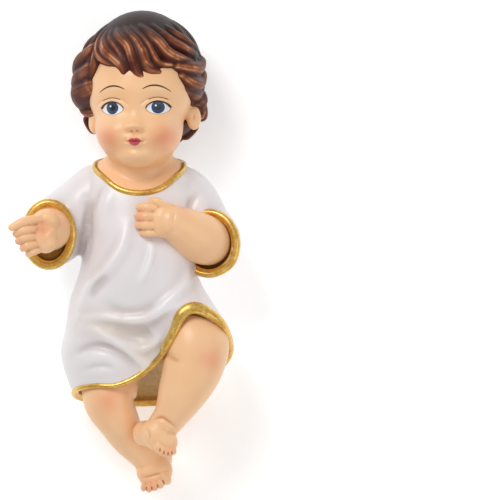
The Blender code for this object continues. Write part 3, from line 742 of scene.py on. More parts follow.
def opening(rings):
    """The last ring, the ways from it to its middle, and the way back into the piece."""
    edge = rings[-1]
    middle = edge.mean(0)
    return edge, unit(middle - edge), unit(rings[-5].mean(0) - middle)


def hollowed(rings, depth):
    """The rings, with a rim as thick as the cloth's edge and a hollow of that depth after the last."""
    edge, inward, back = opening(rings)
    rim = edge + inward * CLOTH_EDGE
    return np.concatenate([rings, [rim, rim + back * np.reshape(depth, (-1, 1))]])


# %% The rings of the body and the sleeves
# The hem's hollow is shallower where the hem climbs steeply between the legs.
HEM_DEPTHS = HEM_DEPTH * (1 - 0.7 * bell(HEM_TURN - 76, 18))
BODY_RINGS = robe_rings()
RIGHT_RINGS = sleeve_rings(RIGHT_SLEEVE)
LEFT_RINGS = sleeve_rings(LEFT_SLEEVE)
print("rings:", len(BODY_RINGS), "on the body,", len(RIGHT_RINGS), "on each sleeve")

# %% [markdown]
# ## Folds
#
# The drapery is a set of soft ridges and valleys. Each is a line on the cloth with a reach and a
# rise, and it fades out at both ends. A cloth simulation would fold in its own way, and these folds
# have to lie where the modeller put them, so the points near each line are moved instead.

# %% Fold lines, and the robe itself
# Points across and along the body, then reach and rise. Front, then back.
FRONT_FOLDS = (
    (((-8.1, 11.0), (-7.7, 5.5), (-8.1, 0.3), (-9.4, -4.8)), 1.0, -0.8),
    (((-4.4, 13.5), (-5.9, 10.6), (-6.7, 7.9)), 0.7, -0.4),
    (((-2.8, 12.7), (-4.4, 8.1), (-5.3, 3.4)), 1.2, 0.4),
    (((0.5, 5.3), (-0.7, 0.7), (-3.6, -3.8), (-6.9, -7.3), (-9.4, -12.5)), 1.1, 0.8),
    (((-3.2, -4.8), (-5.9, -7.3), (-7.7, -10.0)), 1.1, -0.7),
    (((5.7, 2.4), (5.5, -0.9), (4.4, -4.2), (2.8, -6.7)), 0.7, 0.5),
    (((13.1, -3.0), (12.7, -5.9), (10.8, -8.6), (7.7, -11.2), (4.0, -13.1), (-0.7, -13.3)), 1.1, 0.7),
    (((-4.4, -10.6), (-0.7, -12.3), (3.4, -12.3), (6.3, -10.8)), 1.1, -0.5),
    (((-9.4, -13.5), (-4.0, -13.7), (0.9, -14.5), (4.4, -14.1), (8.4, -12.1), (12.7, -10.6)), 0.9, 0.7),
    (((-2.8, -16.0), (0.5, -17.2), (3.4, -17.2), (5.2, -15.8)), 1.8, -1.2),
    (((0.5, -18.9), (3.6, -20.1), (6.1, -18.9), (7.7, -17.2)), 0.9, 0.6),
    (((-9.6, -14.3), (-3.6, -17.6), (1.3, -21.1), (5.1, -24.6)), 1.3, 0.9),
    (((-10.6, -21.1), (-7.7, -19.7), (-4.4, -19.7), (-1.1, -21.1), (2.6, -23.8)), 0.9, -0.8),
    (((-8.6, -24.4), (-6.1, -23.6), (-3.6, -23.6), (-2.2, -24.2)), 0.7, -0.4),
    (((15.4, 12.3), (13.9, 10.2), (13.3, 8.1)), 0.9, -0.5),
)
BACK_FOLDS = (
    (((-10.0, 10.0), (-9.6, 5.5), (-9.4, -0.1)), 0.8, -0.9),
    (((14.9, 10.0), (13.7, 5.5), (13.5, 0.3)), 0.8, -0.8),
    (((-5.9, -11.6), (-8.4, -16.2), (-11.4, -20.3)), 0.9, 0.6),
    (((12.7, -10.6), (14.3, -14.1), (17.4, -17.2)), 0.9, 0.6),
    (((13.3, -3.4), (14.9, -7.9), (17.8, -12.9), (20.7, -16.6)), 1.2, 0.6),
)
FOLD_STRENGTH = 1.3
# Where the cloth is tinted cream, where it faces up: place, then reach sideways and along.
CREAM_TINT = ((-2.0, -15.2, 7.5, 2.6), (4.0, -20.0, 4.0, 3.0))
print("folds:", len(FRONT_FOLDS), "in front,", len(BACK_FOLDS), "behind")


# %% Move the points near a fold
def fold(piece, folds, facing):
    """Raises or sinks folds in a piece. facing is 1 for its front and -1 for its back."""
    for line, reach, rise in folds:
        points, normals = points_of(piece)
        away, share = distance_along(points[:, :2], smooth_path(line, 6))
        fade = np.sin(np.clip(share, 0.02, 0.98) * math.pi) ** 0.6
        side = np.clip(normals[:, 2] * facing + 0.35, 0, 1)
        amount = FOLD_STRENGTH * rise * bell(away, reach) * fade * side
        move_points(piece, points + normals * amount[:, None])


def rest_flat(piece):
    """Flattens what would reach under the surface that the figure lies on."""
    points, _ = points_of(piece)
    points[:, 2] = np.maximum(points[:, 2], 0)
    move_points(piece, points)


# %% The robe, fused and folded
def make_robe():
    """The robe with its sleeves, hollowed cuffs and hem, and folds."""
    shells = [
        tube("robe_body", hollowed(BODY_RINGS, HEM_DEPTHS)),
        tube("right_sleeve", hollowed(RIGHT_RINGS, CUFF_DEPTH)),
        tube("left_sleeve", hollowed(LEFT_RINGS, CUFF_DEPTH)),
    ]
    cloth = fuse("robe", shells, ROBE_GRAIN, 9)
    fold(cloth, FRONT_FOLDS, 1)
    fold(cloth, BACK_FOLDS, -1)
    soften(cloth, 2)
    rest_flat(cloth)
    # The pearl paint turns this depth into painted shade in hollows and painted highlight on ridges.
    keep_value(cloth, "hollow", hollows(cloth, 30))
    points, normals = points_of(cloth)
    cream_tint = np.zeros(len(points))
    for spot in CREAM_TINT:
        cream_tint = np.maximum(cream_tint, dab(points[:, 0], points[:, 1], *spot))
    keep_value(cloth, "cream_tint", cream_tint * np.clip(normals[:, 2], 0, 1))
    cloth.data.materials.append(PEARL)
    return cloth


ROBE = make_robe()
print("robe:", len(ROBE.data.polygons), "faces")

# %% [markdown]
# ## Gold edges
#
# Each opening has a rolled gold edge, and the gold carries on inside it. The edge is a bead that
# follows the opening, with a lip that turns in over the rim. It is swept ring by ring, because a
# curve's bevel would twist where the hem climbs steeply over the knee.


# %% The trims
LINING_STANDS_IN = 0.36


def trim(name, rings, depth, width, rise):
    """A gold edge round the last of the rings: a bead on the cloth, and a lining inside to that depth.

    width is the bead's half width along the cloth, and rise is how far it stands off the cloth.
    """
    edge, inward, back = opening(rings)
    depth = np.broadcast_to(depth, len(edge))[:, None]
    # The lining stands in from the hollow's wall, so that the gold covers it.
    wall = edge + inward * (CLOTH_EDGE + LINING_STANDS_IN)
    lining = [wall + back * sink for sink in (0.8 * depth, depth / 2, 0.1)]
    for _ in range(6):
        edge = (edge + 0.5 * np.roll(edge, 1, axis=0) + 0.5 * np.roll(edge, -1, axis=0)) / 2
    tangent = unit(np.roll(edge, -1, axis=0) - np.roll(edge, 1, axis=0))
    up_cloth = rings[-5] - edge
    up_cloth = unit(up_cloth - tangent * (up_cloth * tangent).sum(1)[:, None])
    outward = np.cross(tangent, up_cloth)
    outward *= -np.sign((outward * inward).sum(1).mean())
    width = np.broadcast_to(width, len(edge))[:, None]
    rise = np.broadcast_to(rise, len(edge))[:, None]
    middle = edge + up_cloth * (width - 0.35)
    bead = []
    for turn in np.radians(np.arange(-60, 181, 20)):
        bead.append(middle - up_cloth * width * math.cos(turn) + outward * rise * math.sin(turn))
    under = edge + up_cloth * (2 * width - 0.3) - outward * 0.5
    loops = [*lining, *bead, under, edge + inward * (CLOTH_EDGE - 0.2) + back * (depth + 0.2)]
    band = tube(name, loops)
    round_off = band.modifiers.new("Round", "SUBSURF")
    round_off.levels = 1
    round_off.render_levels = 1
    bpy.ops.object.modifier_apply(modifier=round_off.name)
    rest_flat(band)
    # The gold paint darkens these grooves as painted shade.
    keep_value(band, "groove", blend_in(0.02, 0.2, hollows(band, 12)))
    band.data.materials.append(GOLD)
    return band


# The edge widens where it climbs over the knee.
over_knee = bell(HEM_TURN - 52, 32)
TRIMS = [
    trim("gold_neckline", BODY_RINGS[::-1], 1.0, 0.62, 0.6),
    trim("gold_hem", BODY_RINGS, HEM_DEPTHS, 0.5 + 0.8 * over_knee, 0.5 + 0.35 * over_knee),
    trim("gold_right_cuff", RIGHT_RINGS, CUFF_DEPTH, 0.95, 0.85),
    trim("gold_left_cuff", LEFT_RINGS, CUFF_DEPTH, 0.9, 0.75),
]
print("trims:", [piece.name for piece in TRIMS])

# %% [markdown]
# ## Whole limbs
#
# Each limb is softened before its fingers or toes go on, so that those stay crisp. The painter drew
# thin brown lines between fingers and toes, and dabbed a blush on knees and knuckles. These are stored
# as numbers on the points, because a piece without a UV map can still carry paint that way.

# %% Fingers, toes and whole limbs
def digits(name, rows):
    """Fingers or toes, each through its base, middle and tip."""
    made = []
    for number, (base, middle, tip, radius) in enumerate(rows):
        stations = [[*base, radius], [*middle, radius * 1.02], [*tip, radius * 0.85]]
        made.append(limb(f"{name}_{number}", stations, steps=6, sides=24))
    return made


def painted_gaps(points, ends, strength):
    """Thin lines painted between neighbouring fingers or toes, as seen from above."""
    lines = np.zeros(len(points))
    for one, other in zip(ends[:-1], ends[1:]):
        gap = (np.array(one[:3]) + np.array(other[:3])) / 2
        away, _ = distance_along(points[:, :2], gap[1:, :2])
        lines = np.maximum(lines, bell(away, 0.22) * (points[:, 2] > gap[:, 2].min() - 0.3))
    return strength * lines


def make_limb(name, stations, masses, ends, folds, blush, grain, gaps):
    """A bare arm or leg: the limb and its masses softened first, then its fingers or toes fused on."""
    rounds = [mass(f"{name}_mass_{number}", *row) for number, row in enumerate(masses)]
    whole = fuse(name, [limb(name, stations), *rounds], grain, 13)
    whole = fuse(name, [whole, *digits(f"{name}_digit", ends)], grain, 3)
    fold(whole, folds, 1)
    # The flesh paint darkens these hollows as painted shade.
    keep_value(whole, "hollow", hollows(whole, 12))
    points, _ = points_of(whole)
    keep_value(whole, "crease", painted_gaps(points, ends, gaps))
    glow = np.zeros(len(points))
    for *place, reach in blush:
        glow = np.maximum(glow, bell(np.linalg.norm(points - place, axis=1), reach))
    keep_value(whole, "blush", 0.65 * glow)
    whole.data.materials.append(FLESH)
    return whole


# Each limb's tables, then its voxels in millimetres, and how strongly the gaps are painted.
LIMB_FORMS = {
    "right_arm": (RIGHT_FOREARM, RIGHT_HAND, RIGHT_FINGERS, RIGHT_ARM_FOLDS, RIGHT_ARM_BLUSH, 0.36, 0.4),
    "left_arm": (LEFT_FOREARM, LEFT_HAND, LEFT_FINGERS, LEFT_ARM_FOLDS, LEFT_ARM_BLUSH, 0.36, 0.45),
    "right_leg": (RIGHT_LEG, RIGHT_FOOT, RIGHT_TOES, RIGHT_LEG_FOLDS, RIGHT_LEG_BLUSH, 0.43, 0.9),
    "left_leg": (LEFT_LEG, LEFT_FOOT, LEFT_TOES, LEFT_LEG_FOLDS, LEFT_LEG_BLUSH, 0.43, 0.9),
}
LIMBS = [make_limb(name, *forms) for name, forms in LIMB_FORMS.items()]
print("limbs:", [(piece.name, len(piece.data.polygons)) for piece in LIMBS])

# %% [markdown]
# ## The head
#
# The head is turned a little against the body, so it has a frame of its own, looking along +Z. Skull,
# jaw and chin are rounded masses in that frame. They are fused and softened well before the ears and
# the neck go on, and only the middle of the face is divided more finely, where the paint is small.

# %% The head's frame and masses
HEAD_MIDDLE = (3.2, 34.3, 15.7)
# Degrees about X, Y and Z.
HEAD_TURN = (0, -6, 1)
# Rounded masses: middle and half sizes.
SKULL = ((0, 0, 0), (11.2, 12.2, 12.9))
JAW = ((-0.1, -8.5, 2.6), (9.1, 8.7, 9.6))
CHIN = ((0, -13.6, 7.0), (4.6, 3.6, 3.8))
EARS = (((-9.7, -7.4, -0.8), (1.4, 2.6, 2.0)), ((10.8, -7.0, -0.8), (1.5, 2.6, 2.0)))
# The hollow of the ears: place, reach sideways and along, rise.
EAR_HOLLOW = (11.0, -7.0, 0.6, 1.2, -0.8)
# The neck's stations, in the figure's frame, and the two masses of the hair.
NECK = ((3.0, 16.0, 12.4, 7.6), (3.0, 20.5, 13.6, 6.8), (3.1, 26.0, 14.6, 7.0))
HAIR_CAP = ((0.3, 3.3, -1.4), (11.2, 12.0, 13.2))
HAIR_NAPE = ((0, -4.7, -5.4), (12.0, 7.9, 8.8))
# How fine the skins of the skull, the whole head and the hair are, in millimetres.
SKULL_GRAIN = 0.7
HEAD_GRAIN = 0.6
HAIR_GRAIN = 0.47
HEAD_MATRIX = np.array(Euler([math.radians(angle) for angle in HEAD_TURN]).to_matrix())


def on_head(places):
    """Places in the head's own frame, in the figure's frame."""
    return np.asarray(places) @ HEAD_MATRIX.T + np.array(HEAD_MIDDLE)


def in_head(places):
    """Places in the figure's frame, in the head's own frame."""
    return (np.asarray(places) - np.array(HEAD_MIDDLE)) @ HEAD_MATRIX


def head_mass(name, middle, half_sizes):
    """A rounded mass of the head, in the head's own frame."""
    ball = mass(name, middle, half_sizes)
    move_points(ball, on_head(points_of(ball)[0]))
    return ball


# %% [markdown]
# ### The face
#
# A face is carved by small soft touches that push the skin out or in, the same on both sides. Every
# touch is a place, a reach and a rise, so it can be tuned alone. The eyes, brows and lips are only
# painted, as on the real casting, and their edges are worked out from the same sizes as the carving.

# %% The face's touches, eyes and lips, in the head's own frame
# Soft touches: sideways, height, reach sideways and along, rise. Both sides are touched.
FACE_TOUCHES = (
    (4.7, -4.9, 3.0, 2.2, -1.5),
    (0.0, -5.6, 1.3, 2.4, 0.35),
    (4.6, -1.2, 3.4, 1.3, 0.35),
    (0.0, -8.5, 1.35, 1.05, 1.9),
    (1.15, -8.85, 0.7, 0.6, 0.8),
    (0.6, -9.6, 0.32, 0.22, -0.5),
    (0.0, -10.0, 2.4, 0.6, -0.35),
    (0.0, -10.5, 0.35, 0.45, -0.14),
    (0.0, -11.7, 2.5, 1.7, 1.0),
    (0.55, -11.3, 0.7, 0.36, 0.42),
    (0.0, -12.2, 1.0, 0.48, 0.6),
    (0.0, -11.75, 1.35, 0.17, -0.45),
    (1.75, -11.7, 0.45, 0.4, -0.42),
    (0.0, -13.3, 1.6, 0.9, -0.4),
    (0.0, -14.6, 2.2, 1.5, 1.0),
    (5.7, -10.2, 3.4, 3.2, 1.5),
)
EYE_MIDDLE = (4.7, -5.1)
EYE_HALF_WIDTH = 2.3
LID_HEIGHTS = (1.45, 1.15)
IRIS_RADIUS = 1.3
PUPIL_RADIUS = 0.62
LIP_LINE = -11.75
LIP_HALF_WIDTH = 1.45
print("touches on the face:", len(FACE_TOUCHES))


def eye_shape(own):
    """How far each point is from an eye's middle as a share of the almond opening, and its place there."""
    sideways = abs(own[:, 0]) - EYE_MIDDLE[0]
    height = own[:, 1] - EYE_MIDDLE[1]
    upper = blend_in(-0.5, 0.5, height)
    lids = LID_HEIGHTS[0] * upper + LID_HEIGHTS[1] * (1 - upper)
    almond = 1.75
    reach = abs(sideways / EYE_HALF_WIDTH) ** almond + abs(height / lids) ** almond
    return reach ** (1 / almond), sideways, height


# %% Carve the face
def carve_face(head):
    """Raises and sinks the features, straight towards the viewer of the face."""
    own = in_head(points_of(head)[0])
    lift = np.zeros(len(own))
    for sideways, height, reach_x, reach_y, rise in FACE_TOUCHES:
        for side in {sideways, -sideways}:
            lift += rise * dab(own[:, 0], own[:, 1], side, height, reach_x, reach_y)
    share, sideways, height = eye_shape(own)
    lift += 1.3 * dab(sideways, height, 0, 0, 2.1, 1.7)
    past = np.clip(share - 1, 0, None)
    lid = 0.18 + 0.14 * blend_in(-0.6, 0.6, height)
    lift += lid * blend_in(0.94, 1.08, share) * bell(past, 0.55)
    lift -= 0.2 * bell(share - 1.6, 0.15) * blend_in(0.3, 1.2, height)
    own[:, 2] += lift * blend_in(2, 5, own[:, 2])
    *spot, rise = EAR_HOLLOW
    dent = rise * dab(abs(own[:, 0]), own[:, 1], *spot)
    own[:, 2] += dent * blend_in(-3, -1, own[:, 2]) * blend_in(2.5, 1, own[:, 2])
    move_points(head, on_head(own))


# %% Store where the face is painted
def paint_face(head):
    """Stores where the eyes, brows, lips, blush, washes and the painted shade in the ears are painted."""
    points, _ = points_of(head)
    own = in_head(points)
    x, y = own[:, 0], own[:, 1]
    front = (own[:, 2] > 2) * (y > -16)
    share, sideways, height = eye_shape(own)
    white = blend_in(1.02, 0.94, share)
    gaze = np.hypot(sideways, height - 0.25)
    keep_value(head, "eye_white", white * front)
    keep_value(head, "iris", blend_in(IRIS_RADIUS + 0.06, IRIS_RADIUS - 0.06, gaze) * white * front)
    keep_value(head, "pupil", blend_in(PUPIL_RADIUS + 0.08, PUPIL_RADIUS - 0.06, gaze) * white * front)
    glint = np.hypot(x - np.sign(x) * EYE_MIDDLE[0] + 0.4, y - EYE_MIDDLE[1] - 0.6)
    keep_value(head, "glint", blend_in(0.24, 0.14, glint) * front)
    outer = np.clip(sideways / EYE_HALF_WIDTH, -1, 1.2)
    line = bell(share - 1.04, 0.07 + 0.035 * (outer + 1)) * blend_in(-0.1, 0.35, height)
    line = np.maximum(line, 0.5 * bell(share - 1.04, 0.06))
    lid_line = bell(share - 1.58, 0.07) * blend_in(0.5, 1.2, height)
    line = np.maximum(line, 0.75 * lid_line * blend_in(1.05, 0.7, abs(outer - 0.05)))
    along = (sideways + 0.1) / 2.9
    brow = 3.6 + 1.1 * (1 - along**2) - 0.3 * along
    thick = 0.09 + 0.09 * (1 - np.clip(along**2, 0, 1))
    stroke = bell(height - brow, thick) * blend_in(1.04, 0.85, abs(along))
    line = np.maximum(line, stroke)
    keep_value(head, "liner", np.clip(line * 1.25, 0, 1) * front)
    t = x / LIP_HALF_WIDTH
    bow = 0.8 * np.clip(1 - t**2, 0, 1) ** 0.8 * (1 - 0.22 * bell(x, 0.32))
    under = 0.95 * np.clip(1 - (x / (0.85 * LIP_HALF_WIDTH)) ** 2, 0, 1) ** 0.7
    rise = y - LIP_LINE
    lips = np.where(rise > 0, bow - rise, under + rise)
    keep_value(head, "lips", blend_in(-0.05, 0.1, lips) * (abs(t) < 1.0) * front)
    seam = 0.8 * bell(rise + 0.02, 0.12) * blend_in(1.35, 1.05, abs(t))
    nostril = 0.6 * dab(abs(x), y, 0.6, -9.6, 0.32, 0.22)
    # The ear's hollow gets painted shade in the crease brown.
    ear = 0.4 * dab(abs(x), y, EAR_HOLLOW[0], EAR_HOLLOW[1], 0.45, 1.2)
    keep_value(head, "crease", np.maximum(np.maximum(seam, nostril) * front, ear))
    keep_value(head, "blush", dab(abs(x), y, 6.0, -11.0, 2.7, 2.3) * front)
    keep_value(head, "warmth", blend_in(-2, 6, y) * 0.8 * front)


# %% The neck, and finer faces where the face is small
def neck_base():
    """The chest that shows inside the neckline, rising to the neck."""
    edge, inward, back = opening(BODY_RINGS[::-1])
    middle = edge.mean(0)
    loops = []
    for share, rise in ((0.96, -2.5), (0.99, 0.1), (0.9, 0.7), (0.74, 1.8), (0.5, 3.0)):
        loops.append(middle + (edge - middle) * share - back * rise)
    return tube("neck_base", loops)


def refine(piece, chosen):
    """Divides the chosen faces once, for finer paint and form."""
    pick(piece)
    bpy.context.tool_settings.mesh_select_mode = (False, False, True)
    bpy.ops.object.mode_set(mode="EDIT")
    bpy.ops.mesh.select_all(action="DESELECT")
    bpy.ops.object.mode_set(mode="OBJECT")
    piece.data.polygons.foreach_set("select", chosen)
    bpy.ops.object.mode_set(mode="EDIT")
    bpy.ops.mesh.subdivide(number_cuts=1, ngon=False)
    bpy.ops.object.mode_set(mode="OBJECT")


def face_places(piece):
    """The middle of each of a piece's faces, in the head's own frame."""
    middles = np.empty(len(piece.data.polygons) * 3, np.float32)
    piece.data.polygons.foreach_get("center", middles)
    return in_head(middles.reshape(-1, 3) / SHARE)


# %% The whole head
def make_head():
    """Skull, jaw, neck and ears in one skin, with the face carved and painted."""
    masses = {"skull": SKULL, "jaw": JAW, "chin": CHIN}
    pieces = [head_mass(name, *values) for name, values in masses.items()] + [limb("neck", NECK)]
    head = fuse("head", pieces, SKULL_GRAIN, 26)
    ears = [head_mass(f"ear_{number}", *ear) for number, ear in enumerate(EARS)]
    head = fuse("head", [head, neck_base(), *ears], HEAD_GRAIN, 5)
    x, y, z = face_places(head).T
    refine(head, (abs(x) < 8.3) & (y > -14) & (y < 0.6) & (z > 4))
    soften(head, 2)
    x, y, z = face_places(head).T
    by_eyes = (abs(abs(x) - 4.8) < 3.3) & (y > -6.9) & (y < 0.1)
    by_lips = (abs(x) < 1.9) & (y > -13.0) & (y < -10.7)
    refine(head, (by_eyes | by_lips) & (z > 4))
    soften(head, 2)
    carve_face(head)
    soften(head, 2)
    # The flesh paint darkens these hollows as painted shade.
    keep_value(head, "hollow", 0.45 * hollows(head, 10))
    paint_face(head)
    head.data.materials.append(FLESH)
    return head


HEAD = make_head()
print("head:", len(HEAD.data.polygons), "faces")

# %% [markdown]
# ## The hair
#
# Cast hair is no mass of strands but a cap with thick locks carved on it. Each lock is a tapered limb
# that rises out of the scalp and lies on it along a path of angles round the head. Curves with hair
# particles would look like real hair, and this has to look like painted resin.

# %% Locks: degrees round the head from the face, and above its middle, along each lock
# A side curl also has its radius.
FRINGE_LOCKS = (
    ((-98, 68), (-63, 57), (-48, 39), (-41, 29), (-30, 23), (-19, 19)),
    ((-94, 72), (-53, 57), (-40, 41), (-30, 31), (-19, 24), (-11, 17), (-8, 7)),
    ((-95, 76), (-44, 58), (-31, 44), (-18, 33), (-10, 22), (-6, 13), (-5, 3)),
    ((-59, 79), (-32, 59), (-18, 45), (-5, 34), (0, 22), (4, 11), (13, 3)),
    ((-48, 82), (-19, 60), (-6, 46), (5, 35), (9, 24), (14, 14), (25, 11)),
    ((-9, 84), (-7, 61), (4, 47), (14, 37), (19, 27), (26, 19), (44, 18)),
    ((46, 84), (9, 62), (18, 47), (27, 37), (36, 28), (52, 23), (74, 20)),
    ((81, 79), (31, 62), (35, 48), (45, 39), (63, 33), (86, 25), (98, 13)),
    ((100, 72), (55, 60), (58, 48), (72, 39), (94, 29), (104, 18), (102, 9)),
    ((-100, 66), (-90, 54), (-78, 45), (-86, 34), (-92, 26), (-100, 22), (-96, 14)),
    ((-100, 62), (-66, 52), (-58, 39), (-57, 27), (-65, 17), (-84, 11), (-98, 6)),
    ((-81, 60), (-58, 49), (-50, 36), (-47, 24), (-52, 12), (-65, 0), (-88, -5)),
    ((0, 50), (5, 38), (9, 28), (12, 20), (19, 15)),
)
SIDE_CURLS = (
    (2.3, ((-60, 34), (-79, 23), (-94, 13), (-103, 18))),
    (2.7, ((-58, 16), (-79, 7), (-95, -3), (-104, 4))),
    (3.2, ((-60, 0), (-80, -5), (-95, -11), (-102, -6))),
    (2.0, ((-64, -13), (-82, -17), (-95, -21), (-88, -26))),
    (1.6, ((47, 18), (60, 15), (80, 14), (98, 20))),
    (1.7, ((54, 9), (66, 2), (88, 0), (102, 8))),
    (1.6, ((62, -4), (82, -11), (100, -9), (104, 2))),
    (1.5, ((76, -12), (92, -19), (105, -16), (108, -6))),
    (1.3, ((84, -18), (98, -22), (103, -27), (96, -33))),
)
FRINGE_WIDTH = 1.3
BACK_LOCKS = 21
BACK_WIDTH = 1.2
NAPE_CURLS = 11
NAPE_WIDTH = 1.45
print("locks:", len(FRINGE_LOCKS) + len(SIDE_CURLS) + BACK_LOCKS + NAPE_CURLS)


# %% One lock on the scalp
def scalp_distance(ways):
    """How far the hair's surface is from the head's middle, in each direction."""
    best = np.zeros(len(ways))
    for middle, half_sizes in (HAIR_CAP, HAIR_NAPE):
        start = -np.array(middle) / half_sizes
        run = ways / np.array(half_sizes)
        a = (run**2).sum(1)
        b = run @ start
        c = start @ start - 1
        best = np.maximum(best, (-b + np.sqrt(np.maximum(b * b - a * c, 0))) / a)
    return best


# The places and radii of each lock that is made, which the paint is worked out from.
LOCKS = []


def lock(name, path, width, lift=0.1, sunk=1.2, blunt=0.35):
    """A lock of hair that rises out of the scalp, blunt at its ends by that share of its width."""
    line = np.radians(smooth_path(path, 8))
    level = np.cos(line[:, 1])
    ways = np.stack([level * np.sin(line[:, 0]), np.sin(line[:, 1]), level * np.cos(line[:, 0])], axis=1)
    t = np.linspace(0, 1, len(line))
    height = lift - (lift + sunk) * blend_in(0.5, 0, t)
    places = on_head(ways * (scalp_distance(ways) + height * width)[:, None])
    radii = width * (blunt + (1 - blunt) * np.sin(math.pi * np.clip(t * 0.9 + 0.05, 0, 1)) ** 0.7)
    LOCKS.append((places, radii))
    return limb(name, np.column_stack([places, radii]), steps=1, sides=20)


# %% The locks at the back
def crown_locks():
    """Waves from the crown down the back and sides, and thicker curls under them that turn up."""
    made = []
    for number in range(BACK_LOCKS):
        side = 80 + number * 200 / (BACK_LOCKS - 1)
        turn = 1 if side > 180 else -1
        swing = turn * (7 + 3 * math.sin(number * 1.7))
        end = -6 + 10 * math.sin(number * 2.1)
        path = [(side, 82), (side + swing * 0.4, 62), (side + swing, 42), (side + swing * 0.2, 24)]
        path += [(side - swing * 1.1, 10), (side - swing * 2.0, end)]
        made.append(lock(f"wave_{number}", path, BACK_WIDTH, lift=-0.15, sunk=1.1))
    for number in range(NAPE_CURLS):
        side = 110 + number * 140 / (NAPE_CURLS - 1)
        turn = 1 if side > 180 else -1
        end = -50 + 30 * ((side - 180) / 70) ** 2 + 5 * math.sin(number * 1.9)
        path = [(side - 9 * turn, 8), (side + 4 * turn, -4), (side - 6 * turn, end * 0.5)]
        path += [(side - 2 * turn, end + 6), (side + 6 * turn, end), (side + 12 * turn, end + 7)]
        made.append(lock(f"nape_{number}", path, NAPE_WIDTH, lift=0.1, sunk=0.5, blunt=0.6))
    return made


# %% Values that the hair paint reads
def lock_values(piece):
    """For each point of the hair: millimetres across its nearest lock, and 1 on top of it or 0 beside it."""
    points, _ = points_of(piece)
    best = np.full(len(points), np.inf)
    across = np.zeros(len(points))
    on_lock = np.zeros(len(points))
    middle = np.array(HEAD_MIDDLE)
    for places, radii in LOCKS:
        span = np.linalg.norm(places - places.mean(0), axis=1).max() + 3
        near = np.where(np.linalg.norm(points - places.mean(0), axis=1) < span)[0]
        away, share = distance_along(points[near], places)
        width = np.interp(share, np.linspace(0, 1, len(radii)), radii)
        away = away / width
        closer = away < best[near]
        chosen = near[closer]
        spot = share[closer] * (len(places) - 1)
        index = np.clip(spot.astype(int), 0, len(places) - 2)
        base = places[index] + (places[index + 1] - places[index]) * (spot - index)[:, None]
        ahead = unit(places[index + 1] - places[index])
        side = unit(np.cross(ahead, base - middle))
        offset = ((points[chosen] - base) * side).sum(1)
        best[chosen] = away[closer]
        across[chosen] = offset * SHARE / MM
        on_lock[chosen] = blend_in(0.9, 0.6, abs(offset) / width[closer])
    return across, on_lock


# %% The whole head of hair
def make_hair():
    """The cap of hair and the locks on it, as one skin with the paint's values on it."""
    pieces = [head_mass("hair_cap", *HAIR_CAP), head_mass("hair_nape", *HAIR_NAPE)]
    pieces += crown_locks()
    for number, path in enumerate(FRINGE_LOCKS):
        width = FRINGE_WIDTH * (1 + 0.2 * math.sin(number * 2.3))
        pieces.append(lock(f"fringe_{number}", path, width))
    for number, (width, path) in enumerate(SIDE_CURLS):
        pieces.append(lock(f"curl_{number}", path, width, lift=0.45, sunk=0.1, blunt=0.8))
    hair = fuse("hair", pieces, HAIR_GRAIN, 2)
    across, on_lock = lock_values(hair)
    rest_flat(hair)
    own = in_head(points_of(hair)[0])
    mean = neighbours_mean(hair)
    keep_value(hair, "across", mean(mean(across[:, None]))[:, 0])
    keep_value(hair, "lock", on_lock * blend_in(13.5, 11.0, own[:, 1]))
    # Hollows get painted shade; ridges get the copper, partly paint and partly painted highlight.
    deep = hollows(hair, 12)
    keep_value(hair, "hollow", deep)
    ridge = blend_in(0.04, -0.14, deep)
    low_down = blend_in(8, 0, own[:, 1])
    fringe = blend_in(1, 6, own[:, 2]) * blend_in(12, 8, own[:, 1])
    keep_value(hair, "copper", ridge * on_lock * np.clip(0.05 + np.maximum(0.8 * low_down, fringe), 0, 1))
    keep_value(hair, "red", np.clip(np.maximum(low_down, fringe) * (0.5 + 0.5 * ridge), 0, 1))
    hair.data.materials.append(HAIR_PAINT)
    return hair


HAIR = make_hair()
print("hair:", len(HAIR.data.polygons), "faces")

# %% [markdown]
# ## Put each piece on the frame
#
# The casting is one solid in the frame. Every painted piece stands for it and moves with its one
# body.

# %% Bodies, and the solid that the pieces stand for
for piece in [ROBE, HAIR, HEAD, *LIMBS, *TRIMS]:
    pick(piece)
    bpy.ops.object.shade_smooth()
    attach(piece, "root")
    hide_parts("figurine")

# %% [markdown]
# ## Floor, light and camera
#
# The figure lies on a plain white table and is seen from straight above. A large soft key comes from
# the upper left, a fill from the right, and a weak light from the feet. The camera is far away, so the
# view is almost without perspective, as in a product picture.

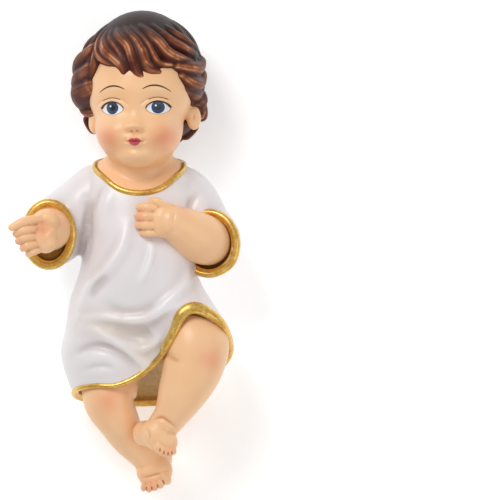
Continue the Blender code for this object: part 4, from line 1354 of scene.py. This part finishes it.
# %% Table and lights
bpy.ops.mesh.primitive_plane_add(size=6, location=(0, 0, -0.0003))
floor = bpy.context.object
floor.name = "floor"
glow = {"Roughness": 0.9, "Base Color": colour("#F7F7F7"), "Emission Color": colour("#FFFFFF")}
surface, *_ = start_paint("light_table", glow | {"Emission Strength": 0.35})
floor.data.materials.append(surface)


def softbox(name, place, aim, size, power):
    """A square light at a place, facing another."""
    bpy.ops.object.light_add(type="AREA", location=place)
    light = bpy.context.object
    light.name = name
    light.data.size = size
    light.data.energy = power
    light.rotation_euler = (Vector(aim) - Vector(place)).to_track_quat("-Z", "Y").to_euler()
    return light


LIGHT_AIM = (0, 0, 0.02)
softbox("key_light", (-0.35, 0.55, 0.75), LIGHT_AIM, 0.4, 4.1)
softbox("fill_light", (0.7, -0.2, 0.7), LIGHT_AIM, 0.6, 1.5)
softbox("front_light", (0.0, -0.7, 0.5), LIGHT_AIM, 0.5, 0.6)
world = bpy.data.worlds.new("studio")
world.use_nodes = True
world.node_tree.nodes["Background"].inputs["Color"].default_value = colour("#F6F5F4")
world.node_tree.nodes["Background"].inputs["Strength"].default_value = 0.5
bpy.context.scene.world = world
bpy.context.scene.view_settings.view_transform = "Standard"

# %% Camera
# What one pixel covers at the level that the view is fitted to.
PIXEL = 0.2062 * SHARE
VIEW_WIDTH = 500 * PIXEL
VIEW_LEVEL = 10 * SHARE
CAMERA_HEIGHT = 4.0
# The camera stands to the side, so that the figure is in the left half of the picture.
CAMERA_PLACE = (25.7 * SHARE, 0.3 * SHARE, CAMERA_HEIGHT)
SENSOR = 36
camera_data = bpy.data.cameras.new("camera")
camera = bpy.data.objects.new("camera", camera_data)
bpy.context.scene.collection.objects.link(camera)
camera.location = CAMERA_PLACE
camera_data.sensor_width = SENSOR
camera_data.lens = SENSOR * (CAMERA_HEIGHT - VIEW_LEVEL) / VIEW_WIDTH
camera_data.clip_end = 20
bpy.context.scene.camera = camera
print(f"camera: {camera_data.lens:.0f} mm lens, {CAMERA_HEIGHT} m up")
